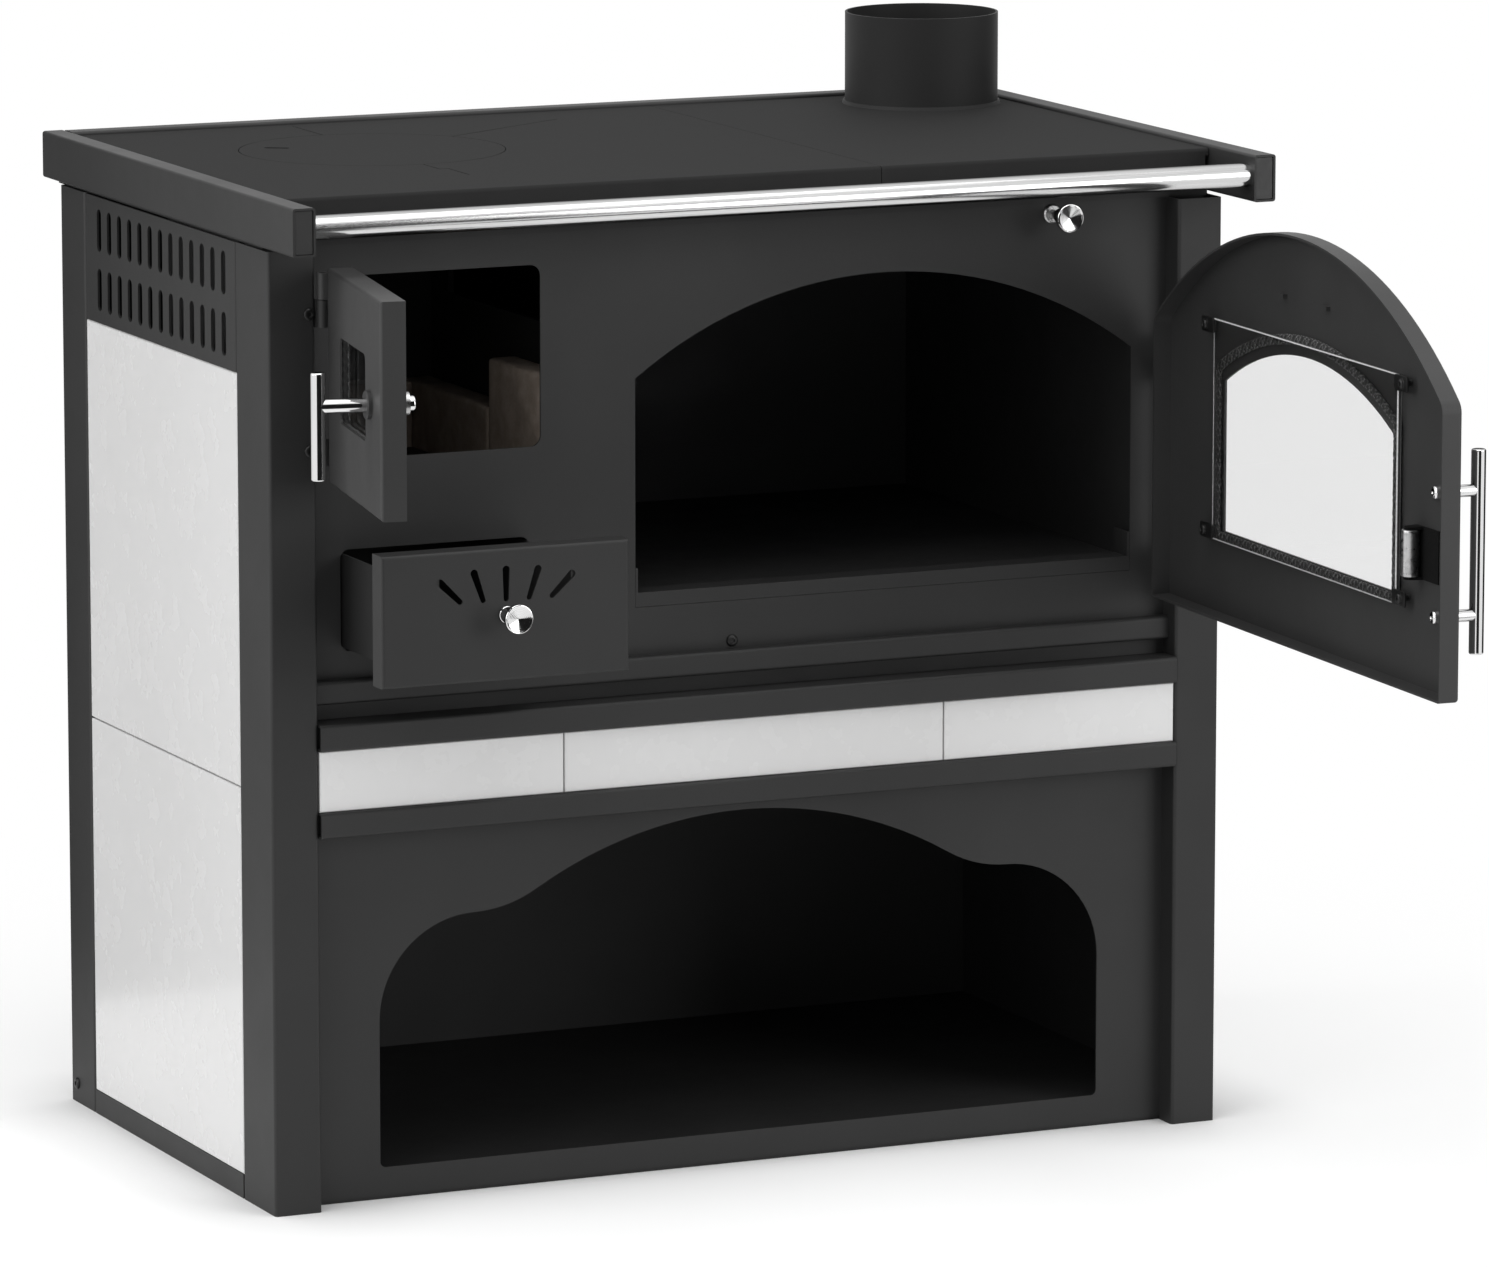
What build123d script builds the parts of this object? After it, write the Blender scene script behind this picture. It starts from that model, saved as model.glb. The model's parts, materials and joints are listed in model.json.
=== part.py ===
from build123d import *
import math
import os

os.makedirs("parts", exist_ok=True)

# The origin is on the floor, at the middle of the cabinet's footprint. +X is to the right, +Y to the back.
# Doors and drawer are built where they stand when the oven door, the firebox door and the drawer are open.

# Cabinet
body_width = 872.0
body_depth = 487.0
post_height = 805.0
post_face = 41.5
front_flank = 73.0
rear_flank = 59.5
rear_return = 30.0
sheet = 2.0
bend = 2.0
joint_gap = 0.3
panel_setback = 23.0

# Side fields
tile_recess = 0.5
tile_thickness = 7.5
tile_edge = 0.8
tile_grout = 1.4
floor_top = 20.7
side_tile_top = post_height - 109.0
side_tile_joint = 349.6
side_backing = 1.5
field_gap = 1.2
vent_gap = 0.8
side_backing_lap = 6.0
vent_slot_width = 10.0
vent_slot_height = 36.5
vent_slot_pitch = 24.4
vent_slot_count = 13
vent_row_pitch = 51.0
vent_row_middle = post_height - 54.2
vent_slot_offset = 2.5

# Front panels
lower_panel_bottom = 3.0
panel_split = 442.0
store_half_width = 333.0
store_bottom = 27.3
store_corner = 5.0
store_side_top = panel_split - 290.5
store_shoulder_radius = 86.0
store_valley_radius = 110.0
store_arch_radius = 375.0
store_arch_top = panel_split - 136.9
store_ceiling_z = panel_split - 12.0
ledge_projection = 11.0
ledge_bottom = panel_split - 17.5

# Belt of tiles between the two trims
trim_projection = 4.5
upper_trim_bottom = panel_split - 53.6
upper_trim_top = panel_split - 31.0
lower_trim_bottom = panel_split - 126.5
lower_trim_top = panel_split - 105.0
belt_tile_recess = 0.3
belt_tile_thickness = 6.0
belt_joints = (-174.7, 175.4)

# Rim, rail and the frame below them
frame_plate = 5.0
rim_tube_height = 40.0
rim_top = post_height + frame_plate + rim_tube_height
rim_tube_width = 20.0
rim_tube_wall = 2.0
rim_tube_corner = 2.5
rim_tube_inner_corner = 1.0
rim_side_overhang = 9.0
rim_front_overhang = 80.0
rim_back_overhang = 18.0
plug_depth = 15.0
plug_clearance = 0.5
plug_recess = 1.0
rail_diameter = 20.0
rail_wall = 1.5
rail_setback = 4.0
rail_z = rim_top - 18.0
frame_inset = 4.0
frame_lip = 2.5
upstand = 4.0
upstand_gap = 1.5

# Hob
hob_recess = 3.0
hob_thickness = 6.0
hob_gap = 1.0
hob_front = 3.0
apron_bottom = rim_top - 35.0
apron_inset = 3.0
apron_bend = 3.0
hob_joint_x = 117.0
hob_joint_gap = 0.6
disc_x = -227.0
disc_y = 44.5
disc_diameter = 226.0
disc_gap = 0.8
disc_step = 5.0
disc_step_depth = 3.0
slit_width = 1.2
long_slit_angle = 31.0
long_slit_end = 269.0
back_slit_end = 184.0
front_slit_jog = 150.0
front_slit_end = 195.0
front_slit_offset = 8.0
lifter_x = -297.0
lifter_y = 87.5
lifter_length = 22.0
lifter_width = 7.0

# Flue collar
collar_x = 348.0
collar_y = 168.5
collar_bore = 131.5
collar_wall = 2.0
collar_top = rim_top + 78.0
collar_bead = 2.5
collar_bead_height = 3.0
collar_bead_slope = 20.0

# Firebox and its opening
fire_left = -366.0
fire_right = -185.3
fire_bottom = panel_split + 184.5
fire_top = post_height - 26.5
fire_corner = 9.0
fire_inner_left = -391.0
fire_inner_right = -155.0
fire_depth = 310.0
fire_floor = panel_split + 133.0
plate = 3.0
brick = 27.0
brick_setback = 8.0
front_brick_depth = 112.0
front_brick_top = fire_floor + 110.0
rear_brick_top = fire_floor + 68.0
brick_edge = 1.5
brick_gap = 0.4
chute_width = 130.0
chute_length = 190.0
grate_width = 160.0
grate_length = 220.0
grate_thickness = 15.0
grate_border = 14.0
grate_bar = 9.0
grate_slots = 7
gas_window_bottom = post_height - 85.0
gas_window_height = 95.0
gas_window_depth = 230.0
gas_window_setback = 40.0
grate_setback = 38.0

# Ash drawer
drawer_left = -363.0
drawer_right = -198.0
drawer_bottom = panel_split + 28.0
drawer_height = 78.0
drawer_length = 288.0
drawer_wall = 1.5
drawer_open = 131.0
drawer_side_clearance = 2.0
drawer_lift = 0.3
cutout_clearance = 3.5
cutout_corner = 8.0
fan_window_width = 116.0
fan_window_bottom = panel_split + 80.0
housing_end_gap = 6.0
tray_face = 0.5
tray_depth = 20.0
tray_bend = 2.5
drawer_front_left = -390.5
drawer_front_right = -172.5
drawer_front_bottom = panel_split + 19.6
drawer_front_top = panel_split + 128.4
drawer_knob_z = panel_split + 74.0
drawer_knob_reach = 28.0
knob_diameter = 24.5
knob_stem = 10.0
knob_foot_radius = 7.0
knob_foot_height = 3.0
knob_head_length = 22.0
knob_neck = 4.0
knob_neck_radius = 6.0
knob_flare_x = 0.35
knob_flare_y = 0.3
knob_dish = 3.0
knob_rim = 2.5
knob_lip = 0.8
fan_foot_z = panel_split + 86.8
fan_pitch = 20.3
fan_length = 24.0
fan_angles = (-46.0, -19.0, 0.0, 19.0, 46.0)
fan_foot_radius = 2.3
fan_tip_radius = 3.2

# Oven
oven_x = 131.0
oven_half_width = 230.8
oven_bottom = panel_split + 42.5
oven_arch_radius = 385.0
oven_arch_top = post_height - 50.3
oven_floor = panel_split + 53.0
oven_inner_half_width = 232.5
oven_inner_top = post_height - 39.0
oven_depth = 450.0
sill_depth = 25.0
sill_upstand = 23.0
smoke_left = -152.0
smoke_right = 414.0
smoke_bottom = panel_split + 10.0

# Draught damper
damper_x = 285.6
damper_z = post_height - 9.0
damper_rod_diameter = 8.0
damper_guide_clearance = 0.1
damper_hole_gap = 1.0
damper_travel = 80.0
damper_window_end = 27.0
damper_window_length = 80.0
damper_window_bottom = damper_z - 18.0
damper_window_top = damper_z + 34.0
damper_lap = 8.0
damper_plate_gap = 0.6
damper_rod_gap = 1.0
damper_knob_reach = 37.0
damper_ring_diameter = 16.0
damper_tab = 16.0
damper_plate_lap = 6.0
damper_ring_height = 3.0
damper_ring_edge = 1.0
damper_ledge = 5.0

# Doors
door_face = 0.5
door_bend = 3.0
hinge_y = -2.0
pin_radius = 3.0
pin_clearance = 0.05
knuckle_gap = 0.6
leaf = 2.0
leaf_depth = 17.0
pin_short = 1.0

# Firebox door
fire_door_open = 100.3
fire_hinge_x = -388.5
fire_knuckle_radius = 5.0
fire_hinge_heights = (
    (post_height - 64.0, post_height - 41.0, post_height - 19.0),
    (fire_bottom + 0.5, fire_bottom + 23.0, fire_bottom + 45.5),
)
fire_door_gap = 6.0
fire_door_width = 210.0
fire_door_bottom = fire_bottom - 13.0
fire_door_top = post_height - 14.5
fire_door_depth = 21.0
fire_window_x = 106.0
fire_window_z = post_height - 100.0
fire_window_width = 102.0
fire_window_height = 70.5
fire_window_corner = 6.0
fire_pane_width = 118.0
fire_pane_height = 87.0
pane_thickness = 4.0
fire_rope_width = 7.5
fire_rope_height = 6.0
fire_clip_x = 40.0
fire_clip_z = 49.0
fire_clip_length = 20.0
fire_clip_width = 12.0
clip_thickness = 1.5
clip_screw_radius = 4.0
clip_screw_height = 2.2
clip_screw_shift = 3.0
clip_sleeve_step = 1.0
handle_x = 173.0
handle_z = post_height - 103.0
handle_shaft_radius = 5.75
handle_shaft_clearance = 0.1
handle_reach = 42.0
handle_bar_radius = 6.0
handle_bar_bottom = post_height - 163.0
handle_bar_top = post_height - 75.5
handle_rose_radius = 11.75
handle_rose_height = 4.0
handle_rose_edge = 1.0
latch_reach = 16.0
latch_thickness = 5.5
latch_length = 38.0
latch_width = 12.0
latch_boss_radius = 9.5
latch_clearance = 1.7
latch_nut_radius = 6.5
latch_nut_edge = 2.0
bar_end_round = 1.5

# Oven door
oven_door_open = 87.6
oven_hinge_x = 389.0
oven_knuckle_radius = 4.8
oven_hinge_heights = (
    (panel_split + 207.0, panel_split + 227.0, panel_split + 248.0),
    (panel_split + 23.0, panel_split + 44.0, panel_split + 65.0),
)
oven_door_gap = 5.0
oven_door_width = 554.5
oven_door_bottom = panel_split + 24.0
oven_door_corner = 2.0
oven_door_shoulder = 14.0
oven_door_arch_radius = 424.0
oven_door_top = post_height + 4.0
oven_door_depth = 18.0
oven_window_half_width = 161.5
oven_window_bottom = panel_split + 97.0
oven_window_side_top = post_height - 138.0
oven_window_top = post_height - 97.7
oven_pane_half_width = 177.3
oven_pane_bottom = panel_split + 88.5
oven_pane_top = post_height - 86.7
oven_rope_width = 9.0
oven_rope_height = 3.0
oven_rope_side_inset = 3.5
oven_rope_foot_inset = 0.5
oven_rope_arch_inset = 8.5
oven_clip_half_span = 185.0
oven_clip_heights = (panel_split + 95.0, post_height - 93.0)
oven_clip_length = 24.0
oven_clip_width = 13.0
bar_x = -520.3
bar_radius = 6.0
bar_reach = 34.0
bar_bottom = panel_split + 55.0
bar_top = panel_split + 222.0
bar_post_radius = 5.0
bar_post_heights = (panel_split + 87.1, panel_split + 188.6)
bar_screw_radius = 5.5
bar_screw_height = 2.5
bar_stud_radius = 3.0
bracket_bottom = panel_split + 114.5
bracket_top = panel_split + 157.5
bracket_far_x = -527.0
bracket_end_radius = 5.5
bracket_foot = 15.0
roller_x = -492.0
roller_depth = 14.5
roller_radius = 7.5
roller_pin_radius = 2.0
roller_end_gap = 0.4
roller_bore_clearance = 0.1
lug_places = (-31.0, 51.0)
lug_z = post_height - 52.0
lug_width = 9.0
lug_height = 3.0
lug_depth = 4.0

# Screws of the cabinet
screw_head_radius = 5.0
screw_head_height = 2.2
screw_head_taper = 20.0
post_screw_inset = 36.0
post_screw_heights = (post_height - 166.0, post_height - 53.0)
rear_screw_y = 471.5
rear_screw_z = 17.0
panel_screw_x = -11.5
panel_screw_z = panel_split + 8.4

# Places that follow from the sizes above
half_width = body_width / 2
front = -body_depth / 2
back = body_depth / 2
tile_seat = tile_recess + tile_thickness
side_sheet_inner = tile_seat + side_backing
panel_front = front + panel_setback
panel_back = panel_front + sheet
back_panel_front = back - 2 * sheet
inner_half_width = half_width - sheet - bend
belt_half_width = half_width - post_face - joint_gap
rim_bottom = rim_top - rim_tube_height
rim_inner_half_width = half_width + rim_side_overhang - rim_tube_width
rim_front = front - rim_front_overhang
rim_back = back + rim_back_overhang
hob_top = rim_top - hob_recess
hob_under = hob_top - hob_thickness
hob_half_width = rim_inner_half_width - hob_gap
hob_front_y = front + hob_front
hob_back_y = rim_back - rim_tube_width - hob_gap
disc_hole_radius = disc_diameter / 2 + disc_gap
slit_start = disc_hole_radius - 2 * disc_step
collar_radius = collar_bore / 2 + collar_wall
drawer_middle = (drawer_front_left + drawer_front_right) / 2
oven_floor_under = oven_floor - sheet
oven_roof_top = oven_inner_top + sheet
partition_right = damper_x - damper_rod_diameter / 2 - damper_plate_gap - sheet - damper_rod_gap
damper_plate_bottom = damper_window_bottom - damper_plate_lap
damper_plate_top = damper_window_top + damper_plate_lap / 2
casing_back = panel_back + oven_depth + sheet
damper_window_front = casing_back - damper_window_end - damper_window_length
casing_outer_back = casing_back + sheet
fire_middle = (fire_inner_left + fire_inner_right) / 2
grate_front = panel_back + grate_setback
sides = ((-1, "left"), (1, "right"))


def from_left(distance):
    return distance - half_width


def folded_strip(points, thickness=sheet, radius=bend):
    """A sheet-metal section: a strip along a bent centre line."""
    with BuildLine() as centre_line:
        FilletPolyline(*points, radius=radius)
    trace(lines=centre_line.wires(), line_width=thickness)


def slab(x_limits, y_limits, z_limits, mode=Mode.ADD):
    """Material between two limits along each axis."""
    with BuildSketch(Plane.XY.offset(min(z_limits))) as base:
        with Locations((sum(x_limits) / 2, sum(y_limits) / 2)):
            Rectangle(abs(x_limits[1] - x_limits[0]), abs(y_limits[1] - y_limits[0]))
    extrude(base.sketch, amount=abs(z_limits[1] - z_limits[0]), mode=mode)


def arched_outline(middle, half, bottom, side_top, top):
    """A closed outline with two upright sides under one arc."""
    with BuildLine() as outline:
        Polyline(
            (middle - half, side_top),
            (middle - half, bottom),
            (middle + half, bottom),
            (middle + half, side_top),
        )
        ThreePointArc((middle + half, side_top), (middle, top), (middle - half, side_top))
    make_face(outline.edges())


def arch_side(radius, top, half):
    """Height at which an arc of this radius and top comes down to its side."""
    return top - radius + math.sqrt(radius**2 - half**2)


def door_face_plane(hinge_x, angle):
    """Upright plane through a hinge axis: x along the door, y up, z out of the door's face."""
    turn = math.radians(angle)
    return Plane(
        origin=(hinge_x, front + hinge_y, 0),
        x_dir=(math.cos(turn), math.sin(turn), 0),
        z_dir=(math.sin(turn), -math.cos(turn), 0),
    )


def door_level_plane(hinge_x, angle, height):
    """Level plane that turns with the door: x along the door, y from its face inwards."""
    turn = math.radians(angle)
    return Plane(
        origin=(hinge_x, front + hinge_y, height),
        x_dir=(math.cos(turn), math.sin(turn), 0),
        z_dir=(0, 0, 1),
    )


fire_plane = door_face_plane(fire_hinge_x, -fire_door_open)
oven_plane = door_face_plane(oven_hinge_x, oven_door_open)
door_out = hinge_y - door_face
door_skin = door_out - sheet
front_plane = Plane(origin=(0, 0, 0), x_dir=(1, 0, 0), z_dir=(0, -1, 0))
side_plane = Plane.YZ


# Front posts: a folded strip round the corner, with a return that carries the front panels
for side, word in sides:
    with BuildPart() as front_post:
        with BuildSketch(Plane.XY):
            folded_strip(
                [
                    (side * (half_width - post_face + sheet / 2), panel_front),
                    (side * (half_width - post_face + sheet / 2), front + sheet / 2),
                    (side * (half_width - sheet / 2), front + sheet / 2),
                    (side * (half_width - sheet / 2), front + front_flank - sheet / 2),
                    (side * (half_width - tile_seat), front + front_flank - sheet / 2),
                ]
            )
        extrude(amount=post_height)
    front_post.part.label = f"front_post_{word}"
    export_step(front_post.part, f"parts/front_post_{word}.step")

# Rear posts
for side, word in sides:
    with BuildPart() as rear_post:
        with BuildSketch(Plane.XY):
            folded_strip(
                [
                    (side * (half_width - rear_return), back - sheet / 2),
                    (side * (half_width - sheet / 2), back - sheet / 2),
                    (side * (half_width - sheet / 2), back - rear_flank + sheet / 2),
                    (side * (half_width - tile_seat), back - rear_flank + sheet / 2),
                ]
            )
        extrude(amount=post_height)
    rear_post.part.label = f"rear_post_{word}"
    export_step(rear_post.part, f"parts/rear_post_{word}.step")

# Sheets behind the side tiles, standing on the base pan
for side, word in sides:
    with BuildPart() as side_sheet:
        slab(
            (side * (half_width - side_sheet_inner), side * (half_width - tile_seat)),
            (panel_back + joint_gap, back_panel_front - joint_gap),
            (floor_top, side_tile_top + side_backing_lap),
        )
    side_sheet.part.label = f"side_sheet_{word}"
    export_step(side_sheet.part, f"parts/side_sheet_{word}.step")

# Two tiles on each side, between the posts
field_front = front + front_flank + joint_gap
field_back = back - rear_flank - field_gap
for side, word in sides:
    with BuildPart() as side_tiles:
        for low, high in (
            (floor_top, side_tile_joint - tile_grout / 2),
            (side_tile_joint + tile_grout / 2, side_tile_top),
        ):
            slab(
                (side * (half_width - tile_seat), side * (half_width - tile_recess)),
                (field_front, field_back),
                (low, high),
            )
        shown_face = side_tiles.faces().filter_by(Axis.X).group_by(Axis.X)[-1 if side > 0 else 0]
        chamfer(shown_face.edges(), length=tile_edge)
    side_tiles.part.label = f"side_tiles_{word}"
    export_step(side_tiles.part, f"parts/side_tiles_{word}.step")

# Vent panels over the tiles: two rows of upright slots
for side, word in sides:
    with BuildPart() as side_vent:
        with BuildSketch(Plane.XY.offset(side_tile_top + vent_gap)):
            folded_strip(
                [
                    (side * (half_width - tile_seat), field_front + sheet / 2),
                    (side * (half_width - sheet / 2), field_front + sheet / 2),
                    (side * (half_width - sheet / 2), field_back - sheet / 2),
                    (side * (half_width - tile_seat), field_back - sheet / 2),
                ]
            )
        extrude(amount=post_height - side_tile_top - vent_gap - joint_gap)
        with BuildSketch(side_plane.offset(side * half_width)):
            with Locations((vent_slot_offset, vent_row_middle)):
                with GridLocations(vent_slot_pitch, vent_row_pitch, vent_slot_count, 2):
                    SlotOverall(vent_slot_height, vent_slot_width, rotation=90)
        extrude(amount=-side * 2 * sheet, mode=Mode.SUBTRACT)
    side_vent.part.label = f"side_vent_{word}"
    export_step(side_vent.part, f"parts/side_vent_{word}.step")

# Base pan: the wood store's floor on a skirt all round, with a strip folded down under each tile field
floor_half = half_width - tile_seat - joint_gap
with BuildPart() as base_pan:
    slab((-floor_half, floor_half), (panel_back, back_panel_front), (0, floor_top))
    slab(
        (-(floor_half - sheet), floor_half - sheet),
        (panel_back + sheet, back_panel_front - sheet),
        (0, floor_top - sheet),
        mode=Mode.SUBTRACT,
    )
    for side, word in sides:
        slab(
            (side * (floor_half - sheet), side * half_width),
            (field_front, field_back),
            (floor_top - sheet, floor_top),
        )
        slab((side * (half_width - sheet), side * half_width), (field_front, field_back), (0, floor_top))
base_pan.part.label = "base_pan"
export_step(base_pan.part, "parts/base_pan.step")

# Back panel, inside the rear posts' returns
with BuildPart() as back_panel:
    slab(
        (-inner_half_width, inner_half_width),
        (back_panel_front, back - sheet),
        (lower_panel_bottom, post_height - joint_gap),
    )
back_panel.part.label = "back_panel"
export_step(back_panel.part, "parts/back_panel.step")

# Ceiling of the wood store
with BuildPart() as store_ceiling:
    slab(
        (-(half_width - side_sheet_inner - joint_gap), half_width - side_sheet_inner - joint_gap),
        (panel_back, back_panel_front),
        (store_ceiling_z, store_ceiling_z + sheet),
    )
store_ceiling.part.label = "store_ceiling"
export_step(store_ceiling.part, "parts/store_ceiling.step")

# Lower front panel: shoulders, hollow valleys and one wide arch over the wood store
shoulder_x = store_half_width - store_shoulder_radius
arch_centre_z = store_arch_top - store_arch_radius
valley_shoulder_reach = store_shoulder_radius + store_valley_radius
valley_arch_reach = store_arch_radius + store_valley_radius
store_span = math.dist((shoulder_x, store_side_top), (0, arch_centre_z))
span_direction = math.atan2(store_side_top - arch_centre_z, shoulder_x)
valley_swing = math.acos(
    (valley_shoulder_reach**2 + store_span**2 - valley_arch_reach**2)
    / (2 * valley_shoulder_reach * store_span)
)
valley_direction = span_direction + math.pi - valley_swing
valley_x = shoulder_x + valley_shoulder_reach * math.cos(valley_direction)
valley_z = store_side_top + valley_shoulder_reach * math.sin(valley_direction)
shoulder_end = (
    shoulder_x + store_shoulder_radius * math.cos(valley_direction),
    store_side_top + store_shoulder_radius * math.sin(valley_direction),
)
shoulder_mid_angle = valley_direction / 2
shoulder_middle = (
    shoulder_x + store_shoulder_radius * math.cos(shoulder_mid_angle),
    store_side_top + store_shoulder_radius * math.sin(shoulder_mid_angle),
)
arch_angle = math.atan2(valley_z - arch_centre_z, valley_x)
arch_end = (
    store_arch_radius * math.cos(arch_angle),
    arch_centre_z + store_arch_radius * math.sin(arch_angle),
)
valley_mid_angle = (valley_direction + math.pi + arch_angle + math.pi) / 2
valley_middle = (
    valley_x + store_valley_radius * math.cos(valley_mid_angle),
    valley_z + store_valley_radius * math.sin(valley_mid_angle),
)


def mirrored(point):
    return (-point[0], point[1])


with BuildPart() as lower_front_panel:
    slab(
        (-inner_half_width, inner_half_width),
        (panel_front, panel_back),
        (lower_panel_bottom, panel_split - joint_gap),
    )
    with BuildSketch(front_plane.offset(-panel_front)):
        with BuildLine():
            Polyline(
                (-store_half_width, store_side_top),
                (-store_half_width, store_bottom),
                (store_half_width, store_bottom),
                (store_half_width, store_side_top),
            )
            ThreePointArc((store_half_width, store_side_top), shoulder_middle, shoulder_end)
            ThreePointArc(shoulder_end, valley_middle, arch_end)
            ThreePointArc(arch_end, (0, store_arch_top), mirrored(arch_end))
            ThreePointArc(mirrored(arch_end), mirrored(valley_middle), mirrored(shoulder_end))
            ThreePointArc(
                mirrored(shoulder_end),
                mirrored(shoulder_middle),
                (-store_half_width, store_side_top),
            )
        make_face()
        fillet(vertices().group_by(Axis.Y)[0], radius=store_corner)
    extrude(amount=-sheet, mode=Mode.SUBTRACT)
lower_front_panel.part.label = "lower_front_panel"
export_step(lower_front_panel.part, "parts/lower_front_panel.step")

# Upper front panel with the firebox, drawer and oven cut-outs and the ledge folded along its foot
oven_side_top = arch_side(oven_arch_radius, oven_arch_top, oven_half_width)
ledge_front = panel_front - ledge_projection
damper_hole_radius = damper_rod_diameter / 2 + damper_hole_gap
with BuildPart() as upper_front_panel:
    slab(
        (-inner_half_width, inner_half_width),
        (panel_front, panel_back),
        (panel_split, post_height - joint_gap),
    )
    with BuildSketch(side_plane):
        folded_strip(
            [
                (panel_back, panel_split + sheet / 2),
                (ledge_front + sheet / 2, panel_split + sheet / 2),
                (ledge_front + sheet / 2, ledge_bottom + sheet / 2),
                (panel_front, ledge_bottom + sheet / 2),
            ]
        )
    extrude(amount=belt_half_width, both=True)
    with BuildSketch(front_plane.offset(-panel_front)):
        with Locations(((fire_left + fire_right) / 2, (fire_bottom + fire_top) / 2)):
            RectangleRounded(fire_right - fire_left, fire_top - fire_bottom, fire_corner)
        with Locations(((drawer_left + drawer_right) / 2, drawer_bottom + drawer_height / 2)):
            RectangleRounded(
                drawer_right - drawer_left + 2 * drawer_side_clearance,
                drawer_height + 2 * cutout_clearance,
                cutout_corner,
            )
        arched_outline(oven_x, oven_half_width, oven_bottom, oven_side_top, oven_arch_top)
        with Locations((damper_x, damper_z)):
            Circle(damper_hole_radius)
    extrude(amount=-sheet, mode=Mode.SUBTRACT)
upper_front_panel.part.label = "upper_front_panel"
export_step(upper_front_panel.part, "parts/upper_front_panel.step")

# Belt: a backing sheet, three tiles and the two folded trims
belt_tile_front = front + belt_tile_recess
belt_tile_back = belt_tile_front + belt_tile_thickness
belt_backing_back = belt_tile_back + sheet
trim_front = front - trim_projection
with BuildPart() as belt_backing:
    slab(
        (-belt_half_width, belt_half_width),
        (belt_tile_back, belt_backing_back),
        (lower_trim_bottom + sheet + joint_gap, upper_trim_top - sheet - joint_gap),
    )
belt_backing.part.label = "belt_backing"
export_step(belt_backing.part, "parts/belt_backing.step")

belt_edges = (-belt_half_width,) + belt_joints + (belt_half_width,)
with BuildPart() as belt_tiles:
    for left_edge, right_edge in zip(belt_edges[:-1], belt_edges[1:]):
        slab(
            (left_edge + tile_grout / 2, right_edge - tile_grout / 2),
            (belt_tile_front, belt_tile_back),
            (lower_trim_top + joint_gap, upper_trim_bottom - joint_gap),
        )
    chamfer(belt_tiles.faces().group_by(Axis.Y)[0].edges(), length=tile_edge)
belt_tiles.part.label = "belt_tiles"
export_step(belt_tiles.part, "parts/belt_tiles.step")

with BuildPart() as upper_trim:
    with BuildSketch(side_plane):
        folded_strip(
            [
                (panel_front, upper_trim_top - sheet / 2),
                (trim_front + sheet / 2, upper_trim_top - sheet / 2),
                (trim_front + sheet / 2, upper_trim_bottom + sheet / 2),
                (belt_tile_back, upper_trim_bottom + sheet / 2),
            ]
        )
    extrude(amount=belt_half_width, both=True)
upper_trim.part.label = "upper_trim"
export_step(upper_trim.part, "parts/upper_trim.step")

with BuildPart() as lower_trim:
    with BuildSketch(side_plane):
        folded_strip(
            [
                (panel_front, lower_trim_bottom + sheet / 2),
                (trim_front + sheet / 2, lower_trim_bottom + sheet / 2),
                (trim_front + sheet / 2, lower_trim_top - sheet / 2),
                (belt_tile_back, lower_trim_top - sheet / 2),
            ]
        )
    extrude(amount=belt_half_width, both=True)
lower_trim.part.label = "lower_trim"
export_step(lower_trim.part, "parts/lower_trim.step")

# Frame on the posts' tops: a flat ring that carries the rim and an upstand that carries the hob
ring_half = half_width - frame_inset
ring_front = panel_front - frame_lip
ring_back = rim_back - frame_inset
upstand_half = rim_inner_half_width - upstand_gap
upstand_front = ring_front
upstand_back = hob_back_y
with BuildPart() as hob_frame:
    slab((-ring_half, ring_half), (ring_front, ring_back), (post_height, rim_bottom))
    slab(
        (-(smoke_right + joint_gap), smoke_right + joint_gap),
        (panel_back - joint_gap, casing_outer_back + joint_gap),
        (post_height, rim_bottom),
        mode=Mode.SUBTRACT,
    )
    slab((-upstand_half, upstand_half), (upstand_front, upstand_back), (rim_bottom, hob_under))
    slab(
        (-(upstand_half - upstand), upstand_half - upstand),
        (upstand_front + upstand, upstand_back - upstand),
        (rim_bottom, hob_under),
        mode=Mode.SUBTRACT,
    )
hob_frame.part.label = "hob_frame"
export_step(hob_frame.part, "parts/hob_frame.step")

# Rim tubes along the sides and the back
tube_middle_z = (rim_top + rim_bottom) / 2
for side, word in sides:
    with BuildPart() as rim_bar:
        with BuildSketch(front_plane.offset(-rim_front)):
            with Locations((side * (rim_inner_half_width + rim_tube_width / 2), tube_middle_z)):
                RectangleRounded(rim_tube_width, rim_tube_height, rim_tube_corner)
                RectangleRounded(
                    rim_tube_width - 2 * rim_tube_wall,
                    rim_tube_height - 2 * rim_tube_wall,
                    rim_tube_inner_corner,
                    mode=Mode.SUBTRACT,
                )
        extrude(amount=-(rim_back - rim_front))
    rim_bar.part.label = f"rim_bar_{word}"
    export_step(rim_bar.part, f"parts/rim_bar_{word}.step")

with BuildPart() as rim_bar_rear:
    with BuildSketch(side_plane.offset(-rim_inner_half_width)):
        with Locations((rim_back - rim_tube_width / 2, tube_middle_z)):
            RectangleRounded(rim_tube_width, rim_tube_height, rim_tube_corner)
            RectangleRounded(
                rim_tube_width - 2 * rim_tube_wall,
                rim_tube_height - 2 * rim_tube_wall,
                rim_tube_inner_corner,
                mode=Mode.SUBTRACT,
            )
    extrude(amount=2 * rim_inner_half_width)
rim_bar_rear.part.label = "rim_bar_rear"
export_step(rim_bar_rear.part, "parts/rim_bar_rear.step")

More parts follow.
